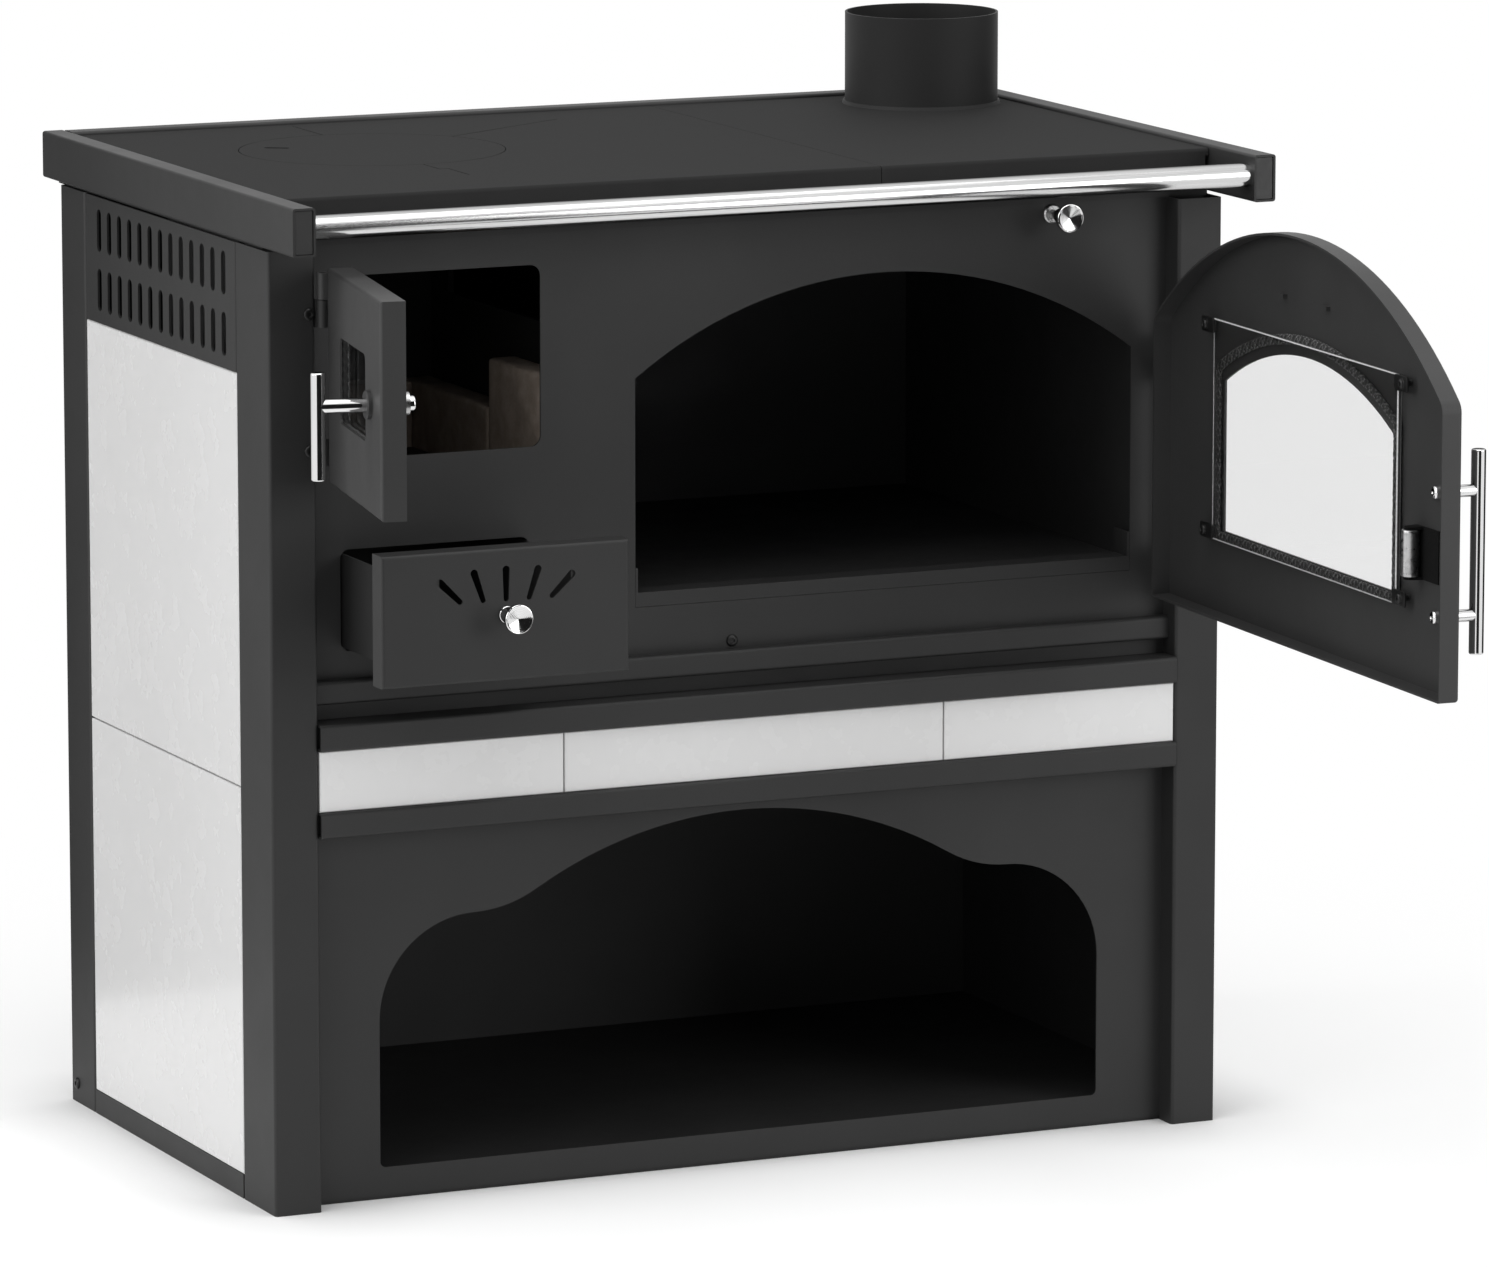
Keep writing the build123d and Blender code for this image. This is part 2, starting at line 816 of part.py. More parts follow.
# Plastic plugs in the four open ends of the side tubes
with BuildPart() as rim_plugs:
    for side, word in sides:
        for plug_front in (rim_front + plug_recess, rim_back - plug_recess - plug_depth):
            with BuildSketch(front_plane.offset(-plug_front)):
                with Locations((side * (rim_inner_half_width + rim_tube_width / 2), tube_middle_z)):
                    RectangleRounded(
                        rim_tube_width - 2 * rim_tube_wall - 2 * plug_clearance,
                        rim_tube_height - 2 * rim_tube_wall - 2 * plug_clearance,
                        rim_tube_inner_corner,
                    )
            extrude(amount=-plug_depth)
rim_plugs.part.label = "rim_plugs"
export_step(rim_plugs.part, "parts/rim_plugs.step")

# Towel rail between the side tubes
with BuildPart() as towel_rail:
    with BuildSketch(side_plane.offset(-rim_inner_half_width)):
        with Locations((rim_front + rail_setback + rail_diameter / 2, rail_z)):
            Circle(rail_diameter / 2)
            Circle(rail_diameter / 2 - rail_wall, mode=Mode.SUBTRACT)
    extrude(amount=2 * rim_inner_half_width)
towel_rail.part.label = "towel_rail"
export_step(towel_rail.part, "parts/towel_rail.step")


def hob_half(left_x, right_x, apron_left, apron_right):
    """One half of the hob with its folded apron."""
    slab((left_x, right_x), (hob_front_y, hob_back_y), (hob_under, hob_top))
    slab((apron_left, apron_right), (hob_front_y, hob_front_y + hob_thickness), (apron_bottom, hob_top))
    front_edge = edges().filter_by(Axis.X).group_by(Axis.Y)[0].group_by(Axis.Z)[-1]
    fillet(front_edge, radius=apron_bend)


# Left half of the hob, with the stepped hole, the expansion slits and the apron
with BuildPart() as hob_plate_left:
    hob_half(
        -hob_half_width,
        hob_joint_x - hob_joint_gap / 2,
        -(hob_half_width - apron_inset),
        hob_joint_x - hob_joint_gap / 2,
    )
    with BuildSketch(Plane.XY.offset(hob_top)):
        with Locations((disc_x, disc_y)):
            Circle(disc_hole_radius)
    extrude(amount=-disc_step_depth, mode=Mode.SUBTRACT)
    with BuildSketch(Plane.XY.offset(hob_top)):
        with Locations((disc_x, disc_y)):
            Circle(disc_hole_radius - disc_step)
        long_slit = math.radians(long_slit_angle)
        slit_runs = (
            [(0, slit_start), (0, back_slit_end)],
            [
                (0, -slit_start),
                (0, -front_slit_jog),
                (front_slit_offset, -front_slit_jog),
                (front_slit_offset, -front_slit_end),
            ],
            [
                (slit_start * math.cos(long_slit), slit_start * math.sin(long_slit)),
                (long_slit_end * math.cos(long_slit), long_slit_end * math.sin(long_slit)),
            ],
        )
        for run in slit_runs:
            with BuildLine() as slit:
                Polyline(*[(disc_x + x, disc_y + y) for x, y in run])
            trace(lines=slit.wires(), line_width=slit_width)
    extrude(amount=-hob_thickness, mode=Mode.SUBTRACT)
hob_plate_left.part.label = "hob_plate_left"
export_step(hob_plate_left.part, "parts/hob_plate_left.step")

# Lift-out disc, stepped to sit in the hob, with a slot for the lifter
lifter_turn = math.degrees(math.atan2(lifter_y - disc_y, lifter_x - disc_x))
with BuildPart() as hob_disc:
    with BuildSketch(Plane.XY.offset(hob_top)):
        with Locations((disc_x, disc_y)):
            Circle(disc_diameter / 2)
    extrude(amount=-disc_step_depth)
    with BuildSketch(Plane.XY.offset(hob_under)):
        with Locations((disc_x, disc_y)):
            Circle(disc_diameter / 2 - disc_step)
    extrude(amount=hob_thickness - disc_step_depth)
    with BuildSketch(Plane.XY.offset(hob_top)):
        with Locations((lifter_x, lifter_y)):
            SlotOverall(lifter_length, lifter_width, rotation=lifter_turn)
    extrude(amount=-disc_step_depth, mode=Mode.SUBTRACT)
hob_disc.part.label = "hob_disc"
export_step(hob_disc.part, "parts/hob_disc.step")

# Right half of the hob, with the hole for the flue collar
with BuildPart() as hob_plate_right:
    hob_half(
        hob_joint_x + hob_joint_gap / 2,
        hob_half_width,
        hob_joint_x + hob_joint_gap / 2,
        hob_half_width - apron_inset,
    )
    with BuildSketch(Plane.XY.offset(hob_top)):
        with Locations((collar_x, collar_y)):
            Circle(collar_radius + joint_gap)
    extrude(amount=-hob_thickness, mode=Mode.SUBTRACT)
hob_plate_right.part.label = "hob_plate_right"
export_step(hob_plate_right.part, "parts/hob_plate_right.step")

# Flue collar: a straight tube with a bead that stands on the hob
with BuildPart() as flue_collar:
    with BuildSketch(Plane.XY.offset(hob_under)):
        with Locations((collar_x, collar_y)):
            Circle(collar_radius)
    extrude(amount=collar_top - hob_under)
    with BuildSketch(Plane.XY.offset(hob_top)):
        with Locations((collar_x, collar_y)):
            Circle(collar_radius + collar_bead)
    extrude(amount=collar_bead_height, taper=collar_bead_slope)
    with BuildSketch(Plane.XY.offset(hob_under)):
        with Locations((collar_x, collar_y)):
            Circle(collar_bore / 2)
    extrude(amount=collar_top - hob_under, mode=Mode.SUBTRACT)
flue_collar.part.label = "flue_collar"
export_step(flue_collar.part, "parts/flue_collar.step")

# Smoke casing round the oven, open to the front panel and to the hob
with BuildPart() as smoke_casing:
    slab((smoke_left, smoke_right), (panel_back, casing_outer_back), (smoke_bottom, hob_under))
    slab(
        (smoke_left + sheet, smoke_right - sheet),
        (panel_back, casing_back),
        (smoke_bottom + sheet, hob_under),
        mode=Mode.SUBTRACT,
    )
    slab(
        (smoke_left, smoke_left + sheet),
        (panel_back + gas_window_setback, panel_back + gas_window_setback + gas_window_depth),
        (gas_window_bottom, gas_window_bottom + gas_window_height),
        mode=Mode.SUBTRACT,
    )
smoke_casing.part.label = "smoke_casing"
export_step(smoke_casing.part, "parts/smoke_casing.step")

# Oven box, open to the front
with BuildPart() as oven_box:
    slab(
        (oven_x - oven_inner_half_width - sheet, oven_x + oven_inner_half_width + sheet),
        (panel_back, casing_back),
        (oven_floor_under, oven_roof_top),
    )
    slab(
        (oven_x - oven_inner_half_width, oven_x + oven_inner_half_width),
        (panel_back, casing_back - sheet),
        (oven_floor, oven_inner_top),
        mode=Mode.SUBTRACT,
    )
oven_box.part.label = "oven_box"
export_step(oven_box.part, "parts/oven_box.step")

# Folded sill that closes the foot of the oven's cut-out, with low cheeks at its ends
sill_half = oven_half_width - joint_gap
with BuildPart() as oven_sill:
    slab(
        (oven_x - sill_half, oven_x + sill_half),
        (panel_front, panel_front + sill_depth),
        (oven_floor, oven_floor + sheet),
    )
    slab(
        (oven_x - sill_half, oven_x + sill_half),
        (panel_front, panel_back),
        (oven_bottom + joint_gap, oven_floor + sheet),
    )
    for side, word in sides:
        slab(
            (oven_x + side * sill_half, oven_x + side * (sill_half - sheet)),
            (panel_front, panel_front + sill_depth),
            (oven_floor, oven_floor + sill_upstand),
        )
    fillet(
        oven_sill.edges().filter_by(Axis.X).group_by(Axis.Y)[0].group_by(Axis.Z)[-1],
        radius=sheet - joint_gap,
    )
oven_sill.part.label = "oven_sill"
export_step(oven_sill.part, "parts/oven_sill.step")

# Partition between the space over the oven and the flue, with the draught window and the damper's ledge
with BuildPart() as flue_partition:
    slab((partition_right - sheet, partition_right), (panel_back, casing_back), (oven_roof_top, hob_under))
    slab(
        (partition_right - sheet, partition_right),
        (damper_window_front, damper_window_front + damper_window_length),
        (damper_window_bottom, damper_window_top),
        mode=Mode.SUBTRACT,
    )
    slab(
        (partition_right, partition_right + damper_ledge),
        (
            damper_window_front - damper_lap - damper_travel,
            damper_window_front + damper_window_length + damper_lap,
        ),
        (oven_roof_top, damper_plate_bottom - joint_gap),
    )
flue_partition.part.label = "flue_partition"
export_step(flue_partition.part, "parts/flue_partition.step")

# Damper: a plate with a folded tab, its rod, the pull knob, and the ring on the panel
damper_plate_left = partition_right + damper_plate_gap
damper_plate_front = damper_window_front - damper_lap
with BuildPart() as damper_plate:
    slab(
        (damper_plate_left, damper_plate_left + sheet),
        (damper_plate_front, damper_window_front + damper_window_length + damper_lap),
        (damper_plate_bottom, damper_plate_top),
    )
    slab(
        (damper_plate_left, damper_plate_left + damper_tab),
        (damper_plate_front, damper_plate_front + sheet),
        (damper_z - damper_tab / 2, damper_z + damper_tab / 2),
    )
damper_plate.part.label = "damper_plate"
export_step(damper_plate.part, "parts/damper_plate.step")

rod_front = panel_front - damper_knob_reach + knob_head_length
with BuildPart() as damper_rod:
    with BuildSketch(front_plane.offset(-rod_front)):
        with Locations((damper_x, damper_z)):
            Circle(damper_rod_diameter / 2)
    extrude(amount=-(damper_plate_front - rod_front))
damper_rod.part.label = "damper_rod"
export_step(damper_rod.part, "parts/damper_rod.step")

with BuildPart() as damper_ring:
    with BuildSketch(front_plane.offset(-panel_front)):
        with Locations((damper_x, damper_z)):
            Circle(damper_ring_diameter / 2)
            Circle(damper_rod_diameter / 2 + damper_guide_clearance, mode=Mode.SUBTRACT)
    extrude(amount=damper_ring_height)
    front_rings = damper_ring.edges().filter_by(GeomType.CIRCLE).group_by(Axis.Y)[0]
    chamfer(front_rings.sort_by(SortBy.RADIUS)[-1], length=damper_ring_edge)
damper_ring.part.label = "damper_ring"
export_step(damper_ring.part, "parts/damper_ring.step")


def knob_profile(reach, stem_length, stem_radius, foot_radius, foot_height):
    """Half section of a turned knob: a foot, and a stem that flares into a head with a dished face."""
    head = knob_diameter / 2
    side_top = reach - knob_lip
    flare_middle = (
        stem_radius + (head - stem_radius) * knob_flare_x,
        stem_length + (reach - stem_length) * knob_flare_y,
    )
    with BuildLine() as section:
        Polyline((0, 0), (foot_radius, 0), (foot_radius, foot_height), (stem_radius, stem_length))
        ThreePointArc((stem_radius, stem_length), flare_middle, (head, side_top - knob_rim))
        Polyline(
            (head, side_top - knob_rim),
            (head, side_top),
            (head - knob_lip, reach),
            (0, reach - knob_dish),
            (0, 0),
        )
    make_face(section.edges())


# Knobs are turned about an axis that points out of the front
damper_knob_foot = (damper_x, rod_front, damper_z)
damper_knob_plane = Plane(origin=damper_knob_foot, x_dir=(1, 0, 0), z_dir=(0, 0, 1))
with BuildPart() as damper_knob:
    with BuildSketch(damper_knob_plane.rotated((0, 0, 180))):
        knob_profile(knob_head_length, knob_neck, knob_neck_radius, knob_neck_radius, knob_neck / 2)
    revolve(axis=Axis(damper_knob_foot, (0, -1, 0)))
damper_knob.part.label = "damper_knob"
export_step(damper_knob.part, "parts/damper_knob.step")

# Firebox casing, open to the front panel and to the hob, with the window to the oven's smoke casing
fire_outer_left = fire_inner_left - plate
fire_outer_right = fire_inner_right + plate
fire_back = panel_back + fire_depth
with BuildPart() as firebox_casing:
    slab(
        (fire_outer_left, fire_outer_right),
        (panel_back, fire_back + plate),
        (fire_floor - plate, hob_under),
    )
    slab(
        (fire_inner_left, fire_inner_right),
        (panel_back, fire_back),
        (fire_floor, hob_under),
        mode=Mode.SUBTRACT,
    )
    slab(
        (fire_inner_right, fire_outer_right),
        (panel_back + gas_window_setback, panel_back + gas_window_setback + gas_window_depth),
        (gas_window_bottom, gas_window_bottom + gas_window_height),
        mode=Mode.SUBTRACT,
    )
    slab(
        (fire_middle - chute_width / 2, fire_middle + chute_width / 2),
        (grate_front + grate_border, grate_front + grate_border + chute_length),
        (fire_floor - plate, fire_floor),
        mode=Mode.SUBTRACT,
    )
firebox_casing.part.label = "firebox_casing"
export_step(firebox_casing.part, "parts/firebox_casing.step")

# Fire bricks: one tall and one low on each side, and two along the back
brick_front = panel_back + brick_setback
brick_split = brick_front + front_brick_depth
with BuildPart() as fire_bricks:
    for x_limits in (
        (fire_inner_left, fire_inner_left + brick),
        (fire_inner_right - brick, fire_inner_right),
    ):
        slab(x_limits, (brick_front, brick_split - brick_gap), (fire_floor, front_brick_top))
        slab(x_limits, (brick_split, fire_back), (fire_floor, rear_brick_top))
    for x_limits in (
        (fire_inner_left + brick + brick_gap, fire_middle - brick_gap / 2),
        (fire_middle + brick_gap / 2, fire_inner_right - brick - brick_gap),
    ):
        slab(x_limits, (fire_back - brick, fire_back), (fire_floor, rear_brick_top))
    chamfer(fire_bricks.faces().filter_by(Axis.Z).group_by(Axis.Z)[-1].edges(), length=brick_edge)
    chamfer(fire_bricks.faces().filter_by(Axis.Z).group_by(Axis.Z)[-2].edges(), length=brick_edge)
fire_bricks.part.label = "fire_bricks"
export_step(fire_bricks.part, "parts/fire_bricks.step")

# Cast grate over the ash chute
slot_span = grate_length - 2 * grate_border
slot_width = (slot_span - (grate_slots - 1) * grate_bar) / grate_slots
with BuildPart() as grate:
    slab(
        (fire_middle - grate_width / 2, fire_middle + grate_width / 2),
        (grate_front, grate_front + grate_length),
        (fire_floor, fire_floor + grate_thickness),
    )
    with BuildSketch(Plane.XY.offset(fire_floor + grate_thickness)):
        with Locations((fire_middle, grate_front + grate_length / 2)):
            with GridLocations(slot_width + grate_bar, slot_width + grate_bar, 1, grate_slots):
                SlotOverall(grate_width - 2 * grate_border, slot_width)
    extrude(amount=-grate_thickness, mode=Mode.SUBTRACT)
grate.part.label = "grate"
export_step(grate.part, "parts/grate.step")

# Housing that the ash drawer slides in, up to the firebox floor
housing_left = drawer_left - drawer_side_clearance
housing_right = drawer_right + drawer_side_clearance
housing_floor = drawer_bottom - drawer_lift
housing_back = front + tray_face + sheet + drawer_length + drawer_wall + housing_end_gap
with BuildPart() as ash_housing:
    slab(
        (housing_left - sheet, housing_right + sheet),
        (panel_back, housing_back + sheet),
        (housing_floor - sheet, fire_floor - plate),
    )
    slab(
        (housing_left, housing_right),
        (panel_back, housing_back),
        (housing_floor, fire_floor - plate),
        mode=Mode.SUBTRACT,
    )
ash_housing.part.label = "ash_housing"
export_step(ash_housing.part, "parts/ash_housing.step")

# Ash drawer, standing open: a sheet box with a window behind the fan, its front and its knob
drawer_face = front + tray_face - drawer_open
drawer_box_front = drawer_face + sheet
with BuildPart() as ash_drawer_box:
    slab(
        (drawer_left, drawer_right),
        (drawer_box_front, drawer_box_front + drawer_length),
        (drawer_bottom, drawer_bottom + drawer_height),
    )
    slab(
        (drawer_left + drawer_wall, drawer_right - drawer_wall),
        (drawer_box_front + drawer_wall, drawer_box_front + drawer_length - drawer_wall),
        (drawer_bottom + drawer_wall, drawer_bottom + drawer_height),
        mode=Mode.SUBTRACT,
    )
    slab(
        (drawer_middle - fan_window_width / 2, drawer_middle + fan_window_width / 2),
        (drawer_box_front, drawer_box_front + drawer_wall),
        (fan_window_bottom, drawer_bottom + drawer_height),
        mode=Mode.SUBTRACT,
    )
ash_drawer_box.part.label = "ash_drawer_box"
export_step(ash_drawer_box.part, "parts/ash_drawer_box.step")

with BuildPart() as ash_drawer_front:
    slab(
        (drawer_front_left, drawer_front_right),
        (drawer_face, drawer_face + tray_depth),
        (drawer_front_bottom, drawer_front_top),
    )
    fillet(ash_drawer_front.faces().sort_by(Axis.Y)[0].edges(), radius=tray_bend)
    slab(
        (drawer_front_left + sheet, drawer_front_right - sheet),
        (drawer_face + sheet, drawer_face + tray_depth),
        (drawer_front_bottom + sheet, drawer_front_top - sheet),
        mode=Mode.SUBTRACT,
    )
    for place, angle in enumerate(fan_angles):
        foot = (drawer_middle + (place - len(fan_angles) // 2) * fan_pitch, fan_foot_z)
        turn = math.radians(angle)
        tip = (foot[0] + fan_length * math.sin(turn), foot[1] + fan_length * math.cos(turn))
        with BuildSketch(front_plane.offset(-drawer_face)):
            with Locations(foot):
                Circle(fan_foot_radius)
            with Locations(tip):
                Circle(fan_tip_radius)
            make_hull()
        extrude(amount=-2 * sheet, mode=Mode.SUBTRACT)
ash_drawer_front.part.label = "ash_drawer_front"
export_step(ash_drawer_front.part, "parts/ash_drawer_front.step")

drawer_knob_foot = (drawer_middle, drawer_face, drawer_knob_z)
drawer_knob_plane = Plane(origin=drawer_knob_foot, x_dir=(1, 0, 0), z_dir=(0, 0, 1))
with BuildPart() as ash_drawer_knob:
    with BuildSketch(drawer_knob_plane.rotated((0, 0, 180))):
        knob_profile(
            drawer_knob_reach,
            drawer_knob_reach - knob_head_length + knob_neck,
            knob_stem / 2,
            knob_foot_radius,
            knob_foot_height,
        )
    revolve(axis=Axis(drawer_knob_foot, (0, -1, 0)))
ash_drawer_knob.part.label = "ash_drawer_knob"
export_step(ash_drawer_knob.part, "parts/ash_drawer_knob.step")


def door_slab(plane, x_limits, z_limits, out_limits, mode=Mode.ADD):
    """Material on a door: limits along its width, its height and outwards from the hinge axis."""
    with BuildSketch(plane.offset(min(out_limits))) as base:
        with Locations((sum(x_limits) / 2, sum(z_limits) / 2)):
            Rectangle(abs(x_limits[1] - x_limits[0]), abs(z_limits[1] - z_limits[0]))
    extrude(base.sketch, amount=abs(out_limits[1] - out_limits[0]), mode=mode)


def door_disc(plane, place, radius, out_limits, mode=Mode.ADD):
    """A round piece that stands square to a door."""
    with BuildSketch(plane.offset(min(out_limits))) as base:
        with Locations(place):
            Circle(radius)
    extrude(base.sketch, amount=abs(out_limits[1] - out_limits[0]), mode=mode)


def door_knuckles(hinge_x, angle, heights, radius, edge):
    """Upper knuckles of a door's hinges, each with its leaf on the door's edge and a bore for the pin."""
    direction = math.copysign(1, edge)
    for low, split, high in heights:
        bottom = split + knuckle_gap / 2
        with BuildSketch(Plane((hinge_x, front + hinge_y, bottom))) as knuckle:
            Circle(radius)
        extrude(knuckle.sketch, amount=high - bottom)
        with BuildSketch(door_level_plane(hinge_x, angle, bottom)) as tab:
            with Locations((edge - direction * leaf / 2, leaf_depth / 2)):
                Rectangle(leaf, leaf_depth)
        extrude(tab.sketch, amount=high - bottom)
        with BuildSketch(Plane((hinge_x, front + hinge_y, bottom))) as bore:
            Circle(pin_radius + pin_clearance)
        extrude(bore.sketch, amount=high - bottom, mode=Mode.SUBTRACT)


def fixed_knuckles(hinge_x, side, heights, radius):
    """Lower knuckles with their pins, each with its leaf on the post's return."""
    post_edge = side * (half_width - post_face)
    for low, split, high in heights:
        with BuildSketch(Plane((hinge_x, front + hinge_y, low))) as knuckle:
            Circle(radius)
        extrude(knuckle.sketch, amount=split - knuckle_gap / 2 - low)
        with BuildSketch(Plane((hinge_x, front + hinge_y, low))) as pin:
            Circle(pin_radius)
        extrude(pin.sketch, amount=high - low - pin_short)
        slab(
            (post_edge, post_edge - side * leaf),
            (front + hinge_y, front + leaf_depth),
            (low, split - knuckle_gap / 2),
        )


def glass_clips(plane, places, size, pane_out, screw_shift):
    """Clips over a pane's edge, each on a sleeve from the door's skin, with a screw head on top."""
    for place, shift in zip(places, screw_shift):
        x_limits = (place[0] - size[0] / 2, place[0] + size[0] / 2)
        z_limits = (place[1] - size[1] / 2, place[1] + size[1] / 2)
        door_slab(plane, x_limits, z_limits, (pane_out - clip_thickness, pane_out))
        screw = (place[0] + shift[0], place[1] + shift[1])
        door_disc(plane, screw, clip_screw_radius - clip_sleeve_step, (pane_out, door_skin))
        head_seat = pane_out - clip_thickness
        door_disc(plane, screw, clip_screw_radius, (head_seat - clip_screw_height, head_seat))


# Firebox door: a pressed tray with its window and the handle's rose, on two hinge knuckles
fire_rim = door_out - fire_door_depth
fire_door_x = fire_door_gap + fire_door_width / 2
fire_door_z = (fire_door_bottom + fire_door_top) / 2
fire_out_axis = Axis(fire_plane.origin, fire_plane.z_dir)
with BuildPart() as firebox_door:
    with BuildSketch(fire_plane.offset(fire_rim)):
        with Locations((fire_door_x, fire_door_z)):
            Rectangle(fire_door_width, fire_door_top - fire_door_bottom)
    extrude(amount=fire_door_depth)
    fillet(firebox_door.faces().sort_by(fire_out_axis)[-1].edges(), radius=door_bend)
    with BuildSketch(fire_plane.offset(fire_rim)):
        with Locations((fire_door_x, fire_door_z)):
            Rectangle(fire_door_width - 2 * sheet, fire_door_top - fire_door_bottom - 2 * sheet)
    extrude(amount=fire_door_depth - sheet, mode=Mode.SUBTRACT)
    with BuildSketch(fire_plane.offset(door_skin)):
        with Locations((fire_window_x, fire_window_z)):
            RectangleRounded(fire_window_width, fire_window_height, fire_window_corner)
    extrude(amount=sheet, mode=Mode.SUBTRACT)
    rose_out = door_out + handle_rose_height
    shaft_bore = handle_shaft_radius + handle_shaft_clearance
    door_disc(fire_plane, (handle_x, handle_z), handle_rose_radius, (door_out, rose_out))
    rose_edge = firebox_door.faces().sort_by(fire_out_axis)[-1].edges()
    chamfer(rose_edge, length=handle_rose_edge)
    door_disc(fire_plane, (handle_x, handle_z), shaft_bore, (door_skin, rose_out), mode=Mode.SUBTRACT)
    door_knuckles(fire_hinge_x, -fire_door_open, fire_hinge_heights, fire_knuckle_radius, fire_door_gap)
firebox_door.part.label = "firebox_door"
export_step(firebox_door.part, "parts/firebox_door.step")

with BuildPart() as firebox_hinges:
    fixed_knuckles(fire_hinge_x, -1, fire_hinge_heights, fire_knuckle_radius)
firebox_hinges.part.label = "firebox_hinges"
export_step(firebox_hinges.part, "parts/firebox_hinges.step")

# Rope, glass and clips behind the firebox door's window
fire_pane_front = door_skin - fire_rope_height
fire_pane_back = fire_pane_front - pane_thickness
with BuildPart() as firebox_rope:
    with BuildSketch(fire_plane.offset(fire_pane_front)):
        with Locations((fire_window_x, fire_window_z)):
            RectangleRounded(
                fire_window_width + 2 * fire_rope_width,
                fire_window_height + 2 * fire_rope_width,
                fire_window_corner + fire_rope_width,
            )
            RectangleRounded(fire_window_width, fire_window_height, fire_window_corner, mode=Mode.SUBTRACT)
    extrude(amount=fire_rope_height)
firebox_rope.part.label = "firebox_rope"
export_step(firebox_rope.part, "parts/firebox_rope.step")

with BuildPart() as firebox_glass:
    with BuildSketch(fire_plane.offset(fire_pane_back)):
        with Locations((fire_window_x, fire_window_z)):
            Rectangle(fire_pane_width, fire_pane_height)
    extrude(amount=pane_thickness)
firebox_glass.part.label = "firebox_glass"
export_step(firebox_glass.part, "parts/firebox_glass.step")

corners = [(-1, -1), (-1, 1), (1, -1), (1, 1)]
fire_clip_places = [
    (fire_window_x + across * fire_clip_x, fire_window_z + up * fire_clip_z)
    for across, up in corners
]
with BuildPart() as firebox_clips:
    glass_clips(
        fire_plane,
        fire_clip_places,
        (fire_clip_width, fire_clip_length),
        fire_pane_back,
        [(0, up * clip_screw_shift) for across, up in corners],
    )
firebox_clips.part.label = "firebox_clips"
export_step(firebox_clips.part, "parts/firebox_clips.step")

# Firebox handle: an upright bar on one shaft that turns in the door, with a cap nut on its inner end
bar_out = door_out + handle_reach
latch_near = hinge_y - panel_setback - sheet - latch_clearance
latch_far = latch_near - latch_thickness
with BuildPart() as firebox_handle:
    door_disc(fire_plane, (handle_x, handle_z), handle_shaft_radius, (fire_rim - latch_reach, bar_out))
    nut_limits = (fire_rim - latch_reach, latch_far - joint_gap)
    door_disc(fire_plane, (handle_x, handle_z), latch_nut_radius, nut_limits)
    nut_edge = firebox_handle.edges().filter_by(GeomType.CIRCLE).sort_by(fire_out_axis)[0]
    fillet(nut_edge, radius=latch_nut_edge)
    with BuildSketch(door_level_plane(fire_hinge_x, -fire_door_open, handle_bar_bottom)):
        with Locations((handle_x, -bar_out)):
            Circle(handle_bar_radius)
    extrude(amount=handle_bar_top - handle_bar_bottom)
    fillet(firebox_handle.faces().filter_by(Axis.Z).group_by(Axis.Z)[-1].edges(), radius=bar_end_round)
    fillet(firebox_handle.faces().filter_by(Axis.Z).group_by(Axis.Z)[0].edges(), radius=bar_end_round)
firebox_handle.part.label = "firebox_handle"
export_step(firebox_handle.part, "parts/firebox_handle.step")

# Latch finger between the door and the nut; it points to the hinges while the door is open
with BuildPart() as firebox_latch:
    with BuildSketch(fire_plane.offset(latch_far)):
        with Locations((handle_x, handle_z)):
            Circle(latch_boss_radius)
        with Locations((handle_x - latch_length + latch_width / 2, handle_z)):
            Circle(latch_width / 2)
        make_hull()
        with Locations((handle_x, handle_z)):
            Circle(handle_shaft_radius + pin_clearance, mode=Mode.SUBTRACT)
    extrude(amount=latch_thickness)
firebox_latch.part.label = "firebox_latch"
export_step(firebox_latch.part, "parts/firebox_latch.step")

